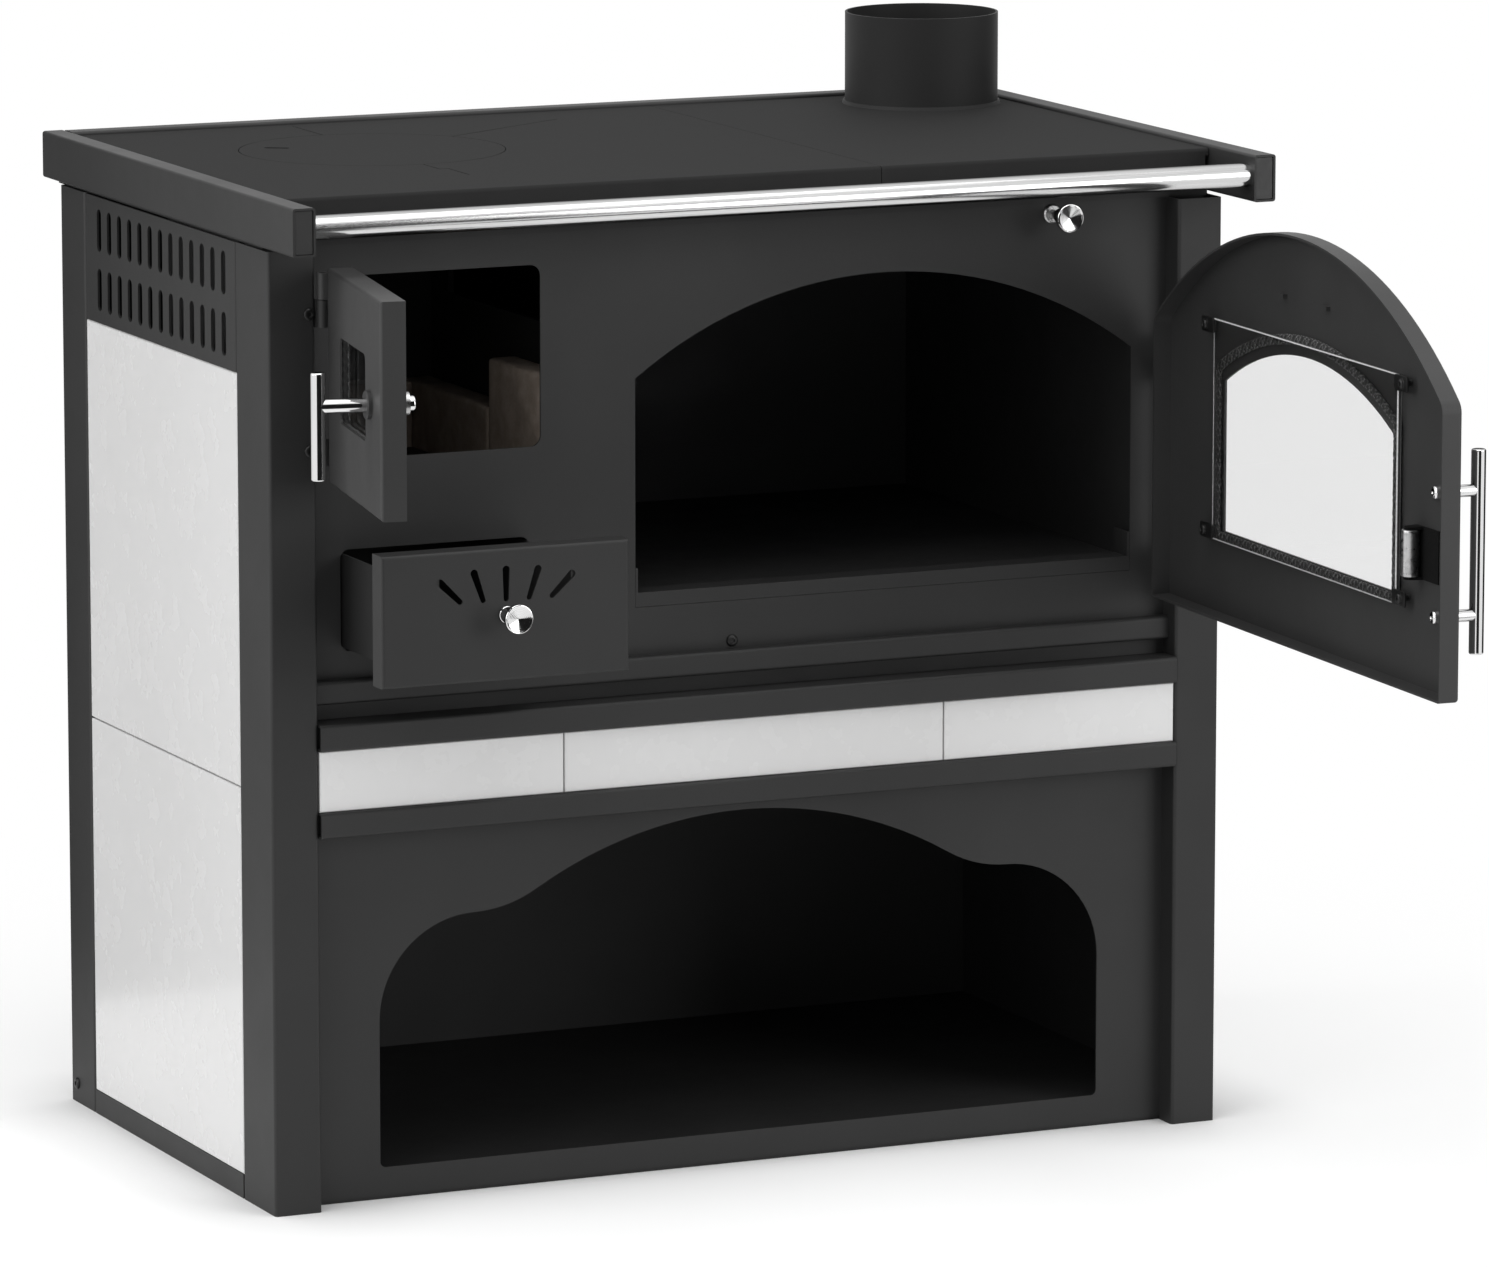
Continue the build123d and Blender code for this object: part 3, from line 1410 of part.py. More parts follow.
# Oven door: an arched tray with an arched window, on two hinge knuckles
oven_rim = door_out - oven_door_depth
oven_door_x = -(oven_door_gap + oven_door_width / 2)
oven_door_side_top = arch_side(oven_door_arch_radius, oven_door_top, oven_door_width / 2)
oven_out_axis = Axis(oven_plane.origin, oven_plane.z_dir)
inner_arch_radius = oven_door_arch_radius - sheet
inner_door_half = oven_door_width / 2 - sheet
inner_door_top = oven_door_top - sheet
with BuildPart() as oven_door:
    with BuildSketch(oven_plane.offset(oven_rim)):
        arched_outline(
            oven_door_x,
            oven_door_width / 2,
            oven_door_bottom,
            oven_door_side_top,
            oven_door_top,
        )
        fillet(vertices().group_by(Axis.Y)[0], radius=oven_door_corner)
        fillet(vertices().group_by(Axis.Y)[-1], radius=oven_door_shoulder)
    extrude(amount=oven_door_depth)
    fillet(oven_door.faces().sort_by(oven_out_axis)[-1].edges(), radius=door_bend)
    with BuildSketch(oven_plane.offset(oven_rim)):
        arched_outline(
            oven_door_x,
            inner_door_half,
            oven_door_bottom + sheet,
            arch_side(inner_arch_radius, inner_door_top, inner_door_half),
            inner_door_top,
        )
        fillet(vertices().group_by(Axis.Y)[-1], radius=oven_door_shoulder - sheet)
    extrude(amount=oven_door_depth - sheet, mode=Mode.SUBTRACT)
    with BuildSketch(oven_plane.offset(door_skin)):
        arched_outline(
            oven_door_x,
            oven_window_half_width,
            oven_window_bottom,
            oven_window_side_top,
            oven_window_top,
        )
        with Locations(*[(bar_x, height) for height in bar_post_heights]):
            Circle(bar_stud_radius + joint_gap)
    extrude(amount=sheet, mode=Mode.SUBTRACT)
    for lug_x in lug_places:
        door_slab(
            oven_plane,
            (oven_door_x + lug_x - lug_width / 2, oven_door_x + lug_x + lug_width / 2),
            (lug_z - lug_height / 2, lug_z + lug_height / 2),
            (door_skin - lug_depth, door_skin),
        )
    door_knuckles(oven_hinge_x, oven_door_open, oven_hinge_heights, oven_knuckle_radius, -oven_door_gap)
oven_door.part.label = "oven_door"
export_step(oven_door.part, "parts/oven_door.step")

with BuildPart() as oven_hinges:
    fixed_knuckles(oven_hinge_x, 1, oven_hinge_heights, oven_knuckle_radius)
oven_hinges.part.label = "oven_hinges"
export_step(oven_hinges.part, "parts/oven_hinges.step")

window_rise = oven_window_top - oven_window_side_top
oven_window_radius = (oven_window_half_width**2 + window_rise**2) / (2 * window_rise)


def rope_outline(grown):
    """Outline at a distance from the inner edge of the rope behind the oven door's window."""
    half = oven_window_half_width + oven_rope_side_inset + grown
    radius = oven_window_radius + oven_rope_arch_inset + grown
    top = oven_window_top + oven_rope_arch_inset + grown
    bottom = oven_window_bottom - oven_rope_foot_inset - grown
    arched_outline(oven_door_x, half, bottom, arch_side(radius, top, half), top)


# Rope, glass and clips behind the oven door's window
oven_pane_front = door_skin - oven_rope_height
oven_pane_back = oven_pane_front - pane_thickness
with BuildPart() as oven_rope:
    with BuildSketch(oven_plane.offset(oven_pane_front)):
        rope_outline(oven_rope_width)
        with BuildSketch(oven_plane.offset(oven_pane_front), mode=Mode.SUBTRACT):
            rope_outline(0)
    extrude(amount=oven_rope_height)
oven_rope.part.label = "oven_rope"
export_step(oven_rope.part, "parts/oven_rope.step")

with BuildPart() as oven_glass:
    door_slab(
        oven_plane,
        (oven_door_x - oven_pane_half_width, oven_door_x + oven_pane_half_width),
        (oven_pane_bottom, oven_pane_top),
        (oven_pane_back, oven_pane_front),
    )
oven_glass.part.label = "oven_glass"
export_step(oven_glass.part, "parts/oven_glass.step")

oven_clip_places = [
    (oven_door_x + across * oven_clip_half_span, height)
    for across in (-1, 1)
    for height in oven_clip_heights
]
with BuildPart() as oven_clips:
    glass_clips(
        oven_plane,
        oven_clip_places,
        (oven_clip_length, oven_clip_width),
        oven_pane_back,
        [(across * clip_screw_shift, 0) for across in (-1, 1) for height in oven_clip_heights],
    )
oven_clips.part.label = "oven_clips"
export_step(oven_clips.part, "parts/oven_clips.step")

# Oven handle: an upright bar on two posts, screwed through the door
oven_bar_out = door_out + bar_reach
with BuildPart() as oven_handle:
    with BuildSketch(door_level_plane(oven_hinge_x, oven_door_open, bar_bottom)):
        with Locations((bar_x, -oven_bar_out)):
            Circle(bar_radius)
    extrude(amount=bar_top - bar_bottom)
    fillet(oven_handle.faces().filter_by(Axis.Z).edges(), radius=bar_end_round)
    for height in bar_post_heights:
        foot = (bar_x, height)
        screw_end = door_skin - bar_screw_height
        door_disc(oven_plane, foot, bar_post_radius, (door_out, oven_bar_out))
        door_disc(oven_plane, foot, bar_stud_radius, (screw_end, oven_bar_out))
        door_disc(oven_plane, foot, bar_screw_radius, (screw_end, door_skin))
oven_handle.part.label = "oven_handle"
export_step(oven_handle.part, "parts/oven_handle.step")

# Roller latch: a plate on the door with two ears and a pin, and the roller that turns on it
ear_foot = -door_skin
with BuildPart() as oven_latch_bracket:
    door_slab(
        oven_plane,
        (roller_x + roller_radius, bracket_far_x),
        (bracket_bottom, bracket_top),
        (door_skin - sheet, door_skin),
    )
    for ear_bottom in (bracket_bottom, bracket_top - sheet):
        with BuildSketch(door_level_plane(oven_hinge_x, oven_door_open, ear_bottom)) as ear:
            with Locations((roller_x, roller_depth)):
                Circle(bracket_end_radius)
            with Locations((roller_x, ear_foot + sheet / 2)):
                Rectangle(bracket_foot, sheet)
            make_hull()
        extrude(ear.sketch, amount=sheet)
    with BuildSketch(door_level_plane(oven_hinge_x, oven_door_open, bracket_bottom)) as latch_pin:
        with Locations((roller_x, roller_depth)):
            Circle(roller_pin_radius)
    extrude(latch_pin.sketch, amount=bracket_top - bracket_bottom)
oven_latch_bracket.part.label = "oven_latch_bracket"
export_step(oven_latch_bracket.part, "parts/oven_latch_bracket.step")

roller_bottom = bracket_bottom + sheet + roller_end_gap
with BuildPart() as oven_latch_roller:
    with BuildSketch(door_level_plane(oven_hinge_x, oven_door_open, roller_bottom)):
        with Locations((roller_x, roller_depth)):
            Circle(roller_radius)
            Circle(roller_pin_radius + roller_bore_clearance, mode=Mode.SUBTRACT)
    extrude(amount=bracket_top - bracket_bottom - 2 * sheet - 2 * roller_end_gap)
oven_latch_roller.part.label = "oven_latch_roller"
export_step(oven_latch_roller.part, "parts/oven_latch_roller.step")


def screw_head(plane):
    """A low round head that stands on the plane."""
    with BuildSketch(plane) as base:
        Circle(screw_head_radius)
    extrude(base.sketch, amount=screw_head_height, taper=screw_head_taper)


# Screw heads on the left post's face, the rear posts' flanks and the upper panel
with BuildPart() as cabinet_screws:
    for height in post_screw_heights:
        screw_head(Plane((from_left(post_screw_inset), front, height), z_dir=(0, -1, 0)))
    for side, word in sides:
        screw_head(Plane((side * half_width, front + rear_screw_y, rear_screw_z), z_dir=(side, 0, 0)))
    screw_head(Plane((panel_screw_x, panel_front, panel_screw_z), z_dir=(0, -1, 0)))
cabinet_screws.part.label = "cabinet_screws"
export_step(cabinet_screws.part, "parts/cabinet_screws.step")
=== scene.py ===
import json
import math

import bmesh
import bpy
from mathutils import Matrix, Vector, noise

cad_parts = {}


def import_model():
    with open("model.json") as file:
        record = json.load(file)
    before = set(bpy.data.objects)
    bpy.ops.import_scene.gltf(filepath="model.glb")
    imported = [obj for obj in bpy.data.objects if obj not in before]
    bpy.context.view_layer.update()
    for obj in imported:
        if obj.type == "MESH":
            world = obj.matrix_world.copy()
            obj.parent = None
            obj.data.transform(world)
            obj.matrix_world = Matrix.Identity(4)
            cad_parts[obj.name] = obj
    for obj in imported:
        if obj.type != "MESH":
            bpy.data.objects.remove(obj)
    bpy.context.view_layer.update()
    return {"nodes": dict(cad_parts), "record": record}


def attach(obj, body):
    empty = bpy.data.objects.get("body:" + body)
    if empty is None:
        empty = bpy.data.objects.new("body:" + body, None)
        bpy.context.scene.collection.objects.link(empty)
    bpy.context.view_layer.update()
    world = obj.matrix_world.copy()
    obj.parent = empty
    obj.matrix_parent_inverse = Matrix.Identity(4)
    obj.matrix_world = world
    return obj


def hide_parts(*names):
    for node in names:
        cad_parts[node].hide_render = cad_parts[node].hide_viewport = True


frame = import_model()
nodes = frame["nodes"]
MM = 0.001


# Node materials

class Surface:
    """A Principled material and the nodes that feed it."""

    def __init__(self, name, colour, roughness, metallic=0.0, **sockets):
        self.material = bpy.data.materials.new(name)
        self.material.use_nodes = True
        self.tree = self.material.node_tree
        self.bsdf = self.tree.nodes["Principled BSDF"]
        self.place = self.node("ShaderNodeTexCoord").outputs["Object"]
        self.set(self.bsdf, "Base Color", (*colour, 1.0))
        self.set(self.bsdf, "Roughness", roughness)
        self.set(self.bsdf, "Metallic", metallic)
        for key, value in sockets.items():
            self.set(self.bsdf, key.replace("_", " "), value)
        self.relief = None

    def node(self, kind, **settings):
        made = self.tree.nodes.new(kind)
        for key, value in settings.items():
            setattr(made, key, value)
        return made

    def set(self, node, socket, value):
        target = node.inputs[socket]
        if isinstance(value, bpy.types.NodeSocket):
            self.tree.links.new(value, target)
        else:
            target.default_value = value

    def stretched(self, scale):
        """The surface's own coordinates, scaled along each axis."""
        mapping = self.node("ShaderNodeMapping")
        self.set(mapping, "Vector", self.place)
        self.set(mapping, "Scale", scale)
        return mapping.outputs["Vector"]

    def noise(self, scale, detail=2.0, roughness=0.5, vector=None, distortion=0.0):
        made = self.node("ShaderNodeTexNoise")
        self.set(made, "Vector", vector or self.place)
        self.set(made, "Scale", scale)
        self.set(made, "Detail", detail)
        self.set(made, "Roughness", roughness)
        self.set(made, "Distortion", distortion)
        return made.outputs["Fac"]

    def cells(self, scale):
        made = self.node("ShaderNodeTexVoronoi")
        self.set(made, "Vector", self.place)
        self.set(made, "Scale", scale)
        return made.outputs["Distance"]

    def spread(self, value, low, high, source_low=0.3, source_high=0.7):
        """A texture value moved to a range."""
        made = self.node("ShaderNodeMapRange")
        self.set(made, "Value", value)
        self.set(made, "From Min", source_low)
        self.set(made, "From Max", source_high)
        self.set(made, "To Min", low)
        self.set(made, "To Max", high)
        return made.outputs["Result"]

    def blend(self, factor, first, second):
        made = self.node("ShaderNodeMix", data_type="RGBA")
        self.set(made, "Factor", factor)
        for socket, value in ((made.inputs[6], first), (made.inputs[7], second)):
            if isinstance(value, bpy.types.NodeSocket):
                self.tree.links.new(value, socket)
            else:
                socket.default_value = (*value, 1.0)
        return made.outputs[2]

    def join(self, first, second, operation="ADD"):
        made = self.node("ShaderNodeMath", operation=operation)
        for index, value in enumerate((first, second)):
            if isinstance(value, bpy.types.NodeSocket):
                self.tree.links.new(value, made.inputs[index])
            else:
                made.inputs[index].default_value = value
        return made.outputs[0]

    def colour(self, value):
        self.set(self.bsdf, "Base Color", value)

    def rough(self, value):
        self.set(self.bsdf, "Roughness", value)

    def bump(self, height, distance, strength=1.0):
        """Relief of a height texture; later calls lie on top of earlier ones."""
        made = self.node("ShaderNodeBump")
        self.set(made, "Height", height)
        self.set(made, "Distance", distance)
        self.set(made, "Strength", strength)
        if self.relief:
            self.set(made, "Normal", self.relief)
        self.relief = made.outputs["Normal"]
        self.set(self.bsdf, "Normal", self.relief)


def grey(value, warmth=0.0):
    return (value * (1 + warmth), value, value * (1 - warmth))


def paint(name, value, low, high, grain=0.00006, specular=0.5):
    """Heat-proof paint on sheet steel: fine orange peel, faint cloudiness, a few rubbed patches."""
    s = Surface(name, grey(value), low, Specular_IOR_Level=specular)
    cloud = s.noise(5.0, 3.0, 0.55)
    speck = s.noise(620.0, 2.0, 0.6)
    tone = s.join(s.join(cloud, 0.75, "MULTIPLY"), s.join(speck, 0.25, "MULTIPLY"))
    s.colour(s.blend(s.spread(tone, 0.0, 1.0), grey(value * 0.90), grey(value * 1.12)))
    s.rough(s.spread(s.noise(9.0, 4.0, 0.6), low, high))
    s.bump(s.noise(380.0, 3.0, 0.6), grain, 0.55)
    s.bump(s.noise(1500.0, 1.0, 0.5), grain * 0.5, 0.4)
    return s.material


def polished(name, value, low, high, scratches):
    """Polished plate: a clear reflection with faint wiping marks."""
    s = Surface(name, grey(value), low, 1.0, Specular_Tint=(0.12, 0.12, 0.12, 1.0))
    marks = s.noise(70.0, 5.0, 0.7, s.stretched(scratches))
    s.rough(s.spread(marks, low, high))
    s.colour(s.blend(s.noise(30.0, 2.0), grey(value * 0.97), grey(value)))
    s.bump(marks, 0.000008, 0.35)
    return s.material


cabinet_paint = paint("cabinet_paint", 0.020, 0.50, 0.60, specular=0.38)
# A lighter, glossier copy of the cabinet paint for the two doors: painted light.
door_paint_painted_light = paint("door_paint_painted_light", 0.030, 0.48, 0.58, specular=0.48)
inner_sheet = paint("inner_sheet", 0.018, 0.50, 0.62, specular=0.35)
oven_steel = paint("oven_steel", 0.016, 0.42, 0.58, specular=0.4)
collar_paint = paint("collar_paint", 0.015, 0.55, 0.65, specular=0.25)
chrome = polished("chrome", 0.78, 0.04, 0.09, (1.0, 1.0, 0.25))


def hob_surface():
    s = Surface("hob_steel", grey(0.028), 0.85, Specular_IOR_Level=0.06)
    rub = s.noise(9.0, 5.0, 0.6, s.stretched((1.0, 1.6, 1.0)), 0.4)
    speck = s.noise(900.0, 2.0, 0.6)
    s.colour(s.blend(s.spread(rub, 0.0, 1.0), grey(0.025), grey(0.031)))
    s.rough(s.join(s.spread(rub, 0.80, 0.88), s.spread(speck, -0.03, 0.03)))
    s.bump(s.noise(260.0, 4.0, 0.65), 0.00005, 0.5)
    s.bump(speck, 0.00003, 0.5)
    return s.material


def tile_surface():
    s = Surface("white_tile", grey(0.78), 0.2, Specular_IOR_Level=0.4, Coat_Weight=0.25, Coat_Roughness=0.08)
    s.colour(s.blend(s.spread(s.noise(5.0, 2.0), 0.0, 1.0), grey(0.770, 0.002), grey(0.790, 0.001)))
    s.rough(s.spread(s.noise(40.0, 3.0, 0.5), 0.22, 0.30))
    s.bump(s.noise(30.0, 1.0, 0.5), 0.00008, 0.2)
    return s.material


def rail_surface():
    s = Surface("brushed_rail", grey(0.62), 0.2, 1.0, Specular_Tint=(0.2, 0.2, 0.2, 1.0))
    streaks = s.noise(1.0, 3.0, 0.6, s.stretched((9.0, 1500.0, 1500.0)))
    s.colour(s.blend(s.spread(streaks, 0.0, 1.0), grey(0.56), grey(0.72)))
    s.rough(s.spread(streaks, 0.12, 0.20))
    s.bump(streaks, 0.00002, 0.5)
    return s.material


def zinc_surface():
    s = Surface("zinc_steel", grey(0.5), 0.3, 1.0)
    spangle = s.cells(160.0)
    s.colour(s.blend(s.spread(spangle, 0.0, 1.0, 0.1, 0.6), grey(0.36), grey(0.50)))
    s.rough(s.spread(s.noise(240.0, 3.0), 0.22, 0.40))
    s.bump(s.noise(500.0, 3.0, 0.6), 0.00003, 0.6)
    return s.material


def clip_surface():
    s = Surface("dark_clip", grey(0.006), 0.35, Specular_IOR_Level=0.4)
    s.colour(s.blend(s.noise(220.0, 3.0), grey(0.004), grey(0.010)))
    s.rough(s.spread(s.noise(300.0, 2.0), 0.30, 0.46))
    s.bump(s.noise(900.0, 2.0), 0.00004, 0.5)
    return s.material


def plug_surface():
    s = Surface("plug_plastic", grey(0.016), 0.45, Specular_IOR_Level=0.5)
    s.colour(s.blend(s.noise(40.0, 3.0), grey(0.013), grey(0.020)))
    s.rough(s.spread(s.noise(120.0, 3.0), 0.40, 0.52))
    s.bump(s.cells(1100.0), 0.00005, 0.5)
    return s.material


def brick_surface():
    s = Surface("firebrick", (0.40, 0.33, 0.27), 0.9, Specular_IOR_Level=0.2)
    lumps = s.noise(60.0, 6.0, 0.65)
    grit = s.cells(420.0)
    base = s.blend(s.spread(lumps, 0.0, 1.0), (0.27, 0.222, 0.182), (0.42, 0.352, 0.298))
    soot = s.spread(s.noise(11.0, 4.0, 0.6), 0.0, 0.45, 0.48, 0.75)
    s.colour(s.blend(soot, base, (0.075, 0.064, 0.054)))
    s.rough(s.spread(lumps, 0.82, 0.96))
    s.bump(lumps, 0.0007, 0.6)
    s.bump(grit, 0.0004, 0.5)
    return s.material


def grate_surface():
    s = Surface("grate_iron", grey(0.03), 0.7, Specular_IOR_Level=0.5)
    s.colour(s.blend(s.noise(90.0, 5.0, 0.7), (0.020, 0.018, 0.017), (0.050, 0.038, 0.030)))
    s.rough(s.spread(s.noise(160.0, 3.0), 0.55, 0.80))
    s.bump(s.noise(420.0, 4.0, 0.7), 0.0003, 0.6)
    return s.material


def rope_surface(name, low, high):
    s = Surface(name, grey(high), 0.7, Specular_IOR_Level=0.4, Sheen_Weight=0.15, Sheen_Roughness=0.5)
    fibres = s.noise(900.0, 5.0, 0.75)
    s.colour(s.blend(s.spread(fibres, 0.0, 1.0, 0.40, 0.62), grey(low), grey(high)))
    s.rough(s.spread(fibres, 0.55, 0.80))
    s.bump(fibres, 0.0004, 0.8)
    return s.material


def glass_surface(name, low, high):
    s = Surface(name, grey(high), 0.02, Transmission_Weight=1.0, IOR=1.47)
    s.rough(s.spread(s.noise(24.0, 4.0, 0.6), 0.0, 0.02))
    s.colour(s.blend(s.noise(9.0, 2.0), grey(low), grey(high)))
    return s.material


def edge_surface(name, low, high):
    """Ground edge of a pane, in a light and a dark copy: painted highlight on its arrises, painted shade on
    the faces in between.
    """
    s = Surface(name, grey(high), 0.5, Specular_IOR_Level=0.6)
    grit = s.noise(700.0, 3.0, 0.6)
    s.colour(s.blend(s.spread(grit, 0.0, 1.0), grey(low), grey(high)))
    s.rough(s.spread(grit, 0.40, 0.62))
    s.bump(grit, 0.00005, 0.6)
    return s.material


def latch_painted_shade_surface():
    """Near-black matt latch bracket, darker than its own dark paint: painted shade for the shadowed well
    between its ears and the door's flange.
    """
    s = Surface("latch_painted_shade", grey(0.004), 0.9, Specular_IOR_Level=0.1)
    s.colour(s.blend(s.noise(160.0, 3.0), grey(0.003), grey(0.006)))
    s.rough(s.spread(s.noise(240.0, 2.0), 0.85, 0.95))
    s.bump(s.noise(700.0, 2.0), 0.00004, 0.5)
    return s.material


LOOKS = {
    "cabinet_paint": cabinet_paint,
    "inner_sheet": inner_sheet,
    "oven_steel": oven_steel,
    "hob_steel": hob_surface(),
    "collar_paint": collar_paint,
    "white_tile": tile_surface(),
    "chrome": chrome,
    "brushed_rail": rail_surface(),
    "zinc_steel": zinc_surface(),
    "dark_clip": clip_surface(),
    "plug_plastic": plug_surface(),
    "firebrick": brick_surface(),
    "grate_iron": grate_surface(),
    "rope": rope_surface("rope", 0.04, 0.24),
    "glass": glass_surface("glass", 0.990, 0.998),
}
# Darkened glass for the firebox door, dimming its window: painted shade.
painted_shade_glass = glass_surface("painted_shade_glass", 0.55, 0.66)
# Lit and shaded copies of the pane edge: painted highlight and painted shade.
edge_painted_highlight = edge_surface("edge_painted_highlight", 0.50, 0.80)
edge_painted_shade = edge_surface("edge_painted_shade", 0.02, 0.06)
# Near-black look for the rope faces sunk between strands: painted shade.
rope_gap_painted_shade = rope_surface("rope_gap_painted_shade", 0.003, 0.010)
dark_rope = rope_surface("dark_rope", 0.006, 0.03)
slot_of = {row["node"]: row["material_slot"] for row in frame["record"]["subparts"]}
for name, o in nodes.items():
    o.data.materials.clear()
    o.data.materials.append(LOOKS[slot_of[name]])
# The latch bracket takes the near-black look: painted shade for the shadowed well between its ears, beside
# the roller.
nodes["oven_latch_bracket"].data.materials[0] = latch_painted_shade_surface()
# The doors take the lighter copy of the cabinet paint: painted light.
for name in ("firebox_door", "oven_door"):
    nodes[name].data.materials[0] = door_paint_painted_light


# Building in mesh code

def add(name, points, faces, body, slot, replaced=(), sharp=38.0, looks=None, look_of=None):
    """A piece from points in millimetres, smooth but for its sharp edges."""
    work = bmesh.new()
    made = [work.verts.new([c * MM for c in point]) for point in points]
    for index, face in enumerate(faces):
        work.faces.new([made[i] for i in face]).material_index = look_of[index] if look_of else 0
    bmesh.ops.remove_doubles(work, verts=work.verts, dist=0.000005)
    bmesh.ops.recalc_face_normals(work, faces=work.faces)
    for edge in work.edges:
        edge.smooth = len(edge.link_faces) == 2 and math.degrees(edge.calc_face_angle(0.0)) < sharp
    for face in work.faces:
        face.smooth = True
    mesh = bpy.data.meshes.new(name)
    work.to_mesh(mesh)
    work.free()
    for look in looks or (LOOKS[slot],):
        mesh.materials.append(look)
    piece = bpy.data.objects.new(name, mesh)
    bpy.context.scene.collection.objects.link(piece)
    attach(piece, body)
    if replaced:
        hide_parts(*replaced)
    return piece


class Shape:
    """Points and faces gathered for one piece."""

    def __init__(self):
        self.points = []
        self.faces = []

    def rings(self, rings, closed=False, caps=True):
        """A skin over rings of equal length."""
        start = len(self.points)
        count = len(rings[0])
        for ring in rings:
            self.points += ring
        pairs = len(rings) if closed else len(rings) - 1
        for i in range(pairs):
            a = start + i * count
            b = start + (i + 1) % len(rings) * count
            for j in range(count):
                k = (j + 1) % count
                self.faces.append((a + j, a + k, b + k, b + j))
        if caps and not closed:
            self.faces.append(tuple(range(start, start + count)))
            last = start + (len(rings) - 1) * count
            self.faces.append(tuple(range(last, last + count)))

    def turned(self, place, profile, segments=32):
        """A turned form: profile rows are radius and height along the place's normal."""
        rings = []
        for radius, height in profile:
            rings.append([
                place(
                    radius * math.cos(2 * math.pi * j / segments),
                    radius * math.sin(2 * math.pi * j / segments),
                    height,
                )
                for j in range(segments)
            ])
        self.rings(rings)

    def plate(self, place, half_x, half_y, corner, low, high, edge):
        """A flat plate with round corners and a softened upper edge."""
        def outline(inset, height):
            ring = []
            radius = max(corner - inset, 0.05)
            for turn, sx, sy in ((0, 1, 1), (90, -1, 1), (180, -1, -1), (270, 1, -1)):
                for step in range(6):
                    angle = math.radians(turn + 18 * step)
                    ring.append(place(
                        sx * (half_x - corner) + radius * math.cos(angle),
                        sy * (half_y - corner) + radius * math.sin(angle),
                        height,
                    ))
            return ring
        self.rings([
            outline(0, low),
            outline(0, high - edge),
            outline(edge * 0.3, high - edge * 0.3),
            outline(edge, high),
        ])


FIRE = (-388.5, -100.3)
OVEN = (389.0, 87.6)
HINGE_Y = -245.5


def door_place(door, x, z, out, inwards=False):
    """Local axes on a door: across, up, and away from the surface at the given height over the hinge axis."""
    hinge_x, angle = door
    c, s = math.cos(math.radians(angle)), math.sin(math.radians(angle))
    sign = -1 if inwards else 1

    def place(u, v, w):
        along = x + u * sign
        away = out + w * sign
        return (hinge_x + along * c + away * s, HINGE_Y + along * s - away * c, z + v)
    return place


def plane_place(origin, across, up, normal):
    def place(u, v, w):
        return tuple(origin[i] + u * across[i] + v * up[i] + w * normal[i] for i in range(3))
    return place


def screw_profile(radius, height, socket, depth):
    """A pan head with a round socket."""
    return [
        (radius, 0.0), (radius, height * 0.35), (radius * 0.94, height * 0.68),
        (radius * 0.78, height * 0.92), (radius * 0.6, height), (socket * 1.12, height),
        (socket, height * 0.9), (socket, height - depth), (socket * 0.3, height - depth * 1.1),
    ]


ROPE_SHARP = 75.0
# Rope faces whose lift lies below this get painted shade.
PAINTED_SHADE_BELOW = 0.72


def braid(path, normal, width, height, pitch, relief):
    """A flat braided rope along a closed path, and which of its faces lie in the gaps between strands; those
    faces get painted shade.
    """
    path = [Vector(p) for p in path]
    lengths = [(path[(i + 1) % len(path)] - p).length for i, p in enumerate(path)]
    total = sum(lengths)
    turns = round(total / pitch)
    count = turns * 7
    normal = Vector(normal)
    centres = []
    index, run = 0, 0.0
    for i in range(count):
        target = total * i / count
        while run + lengths[index] < target:
            run += lengths[index]
            index += 1
        part = (target - run) / lengths[index]
        centres.append(path[index].lerp(path[(index + 1) % len(path)], part))
    around = 20
    rings, gaps = [], []
    for i, centre in enumerate(centres):
        ahead = (centres[(i + 2) % count] - centres[i - 2]).normalized()
        across = ahead.cross(normal).normalized()
        u = i / 7.0
        ring = []
        for j in range(around):
            angle = 2 * math.pi * j / around
            cx, cy = math.cos(angle), math.sin(angle)
            sx = math.copysign(abs(cx) ** 0.7, cx)
            sy = math.copysign(abs(cy) ** 0.7, cy)
            first = math.cos(2 * math.pi * (u + j / around * 4))
            second = math.cos(2 * math.pi * (u - j / around * 4 + 0.5))
            over = math.cos(2 * math.pi * u * 0.5) * math.cos(angle * 4) > 0
            lift = max(first, 0.55 * second) if over else max(second, 0.55 * first)
            grow = relief * (0.5 * lift - 0.5)
            # Sunk faces are marked for painted shade.
            gaps.append(1 if lift < PAINTED_SHADE_BELOW else 0)
            sideways = across * (sx * (width / 2 + grow))
            ring.append(tuple(centre + sideways + normal * (sy * (height / 2 + grow))))
        rings.append(ring)
    shape = Shape()
    shape.rings(rings, closed=True)
    return shape, gaps


def rounded_path(corners, radius):
    """A closed outline with rounded corners, from its corner points."""
    points = []
    count = len(corners)
    for i in range(count):
        before, here, after = (Vector(corners[(i + k) % count]) for k in (-1, 0, 1))
        back, on = (before - here), (after - here)
        cut = min(radius, back.length / 2.01, on.length / 2.01)
        first, last = here + back.normalized() * cut, here + on.normalized() * cut
        for t in (0.0, 0.25, 0.5, 0.75, 1.0):
            points.append(first.lerp(here, t).lerp(here.lerp(last, t), t))
    return points


# Braided ropes under the two panes
DOOR_SKIN = -4.5
FIRE_MIDDLE = 106.0
FIRE_PANE_Z = 705.0
POST_FRONT = -243.5
PANEL_FRONT = -220.5
OVEN_MIDDLE = -(5.0 + 554.5 / 2)


def door_normal(door):
    a = math.radians(door[1])
    return (math.sin(a), -math.cos(a), 0.0)


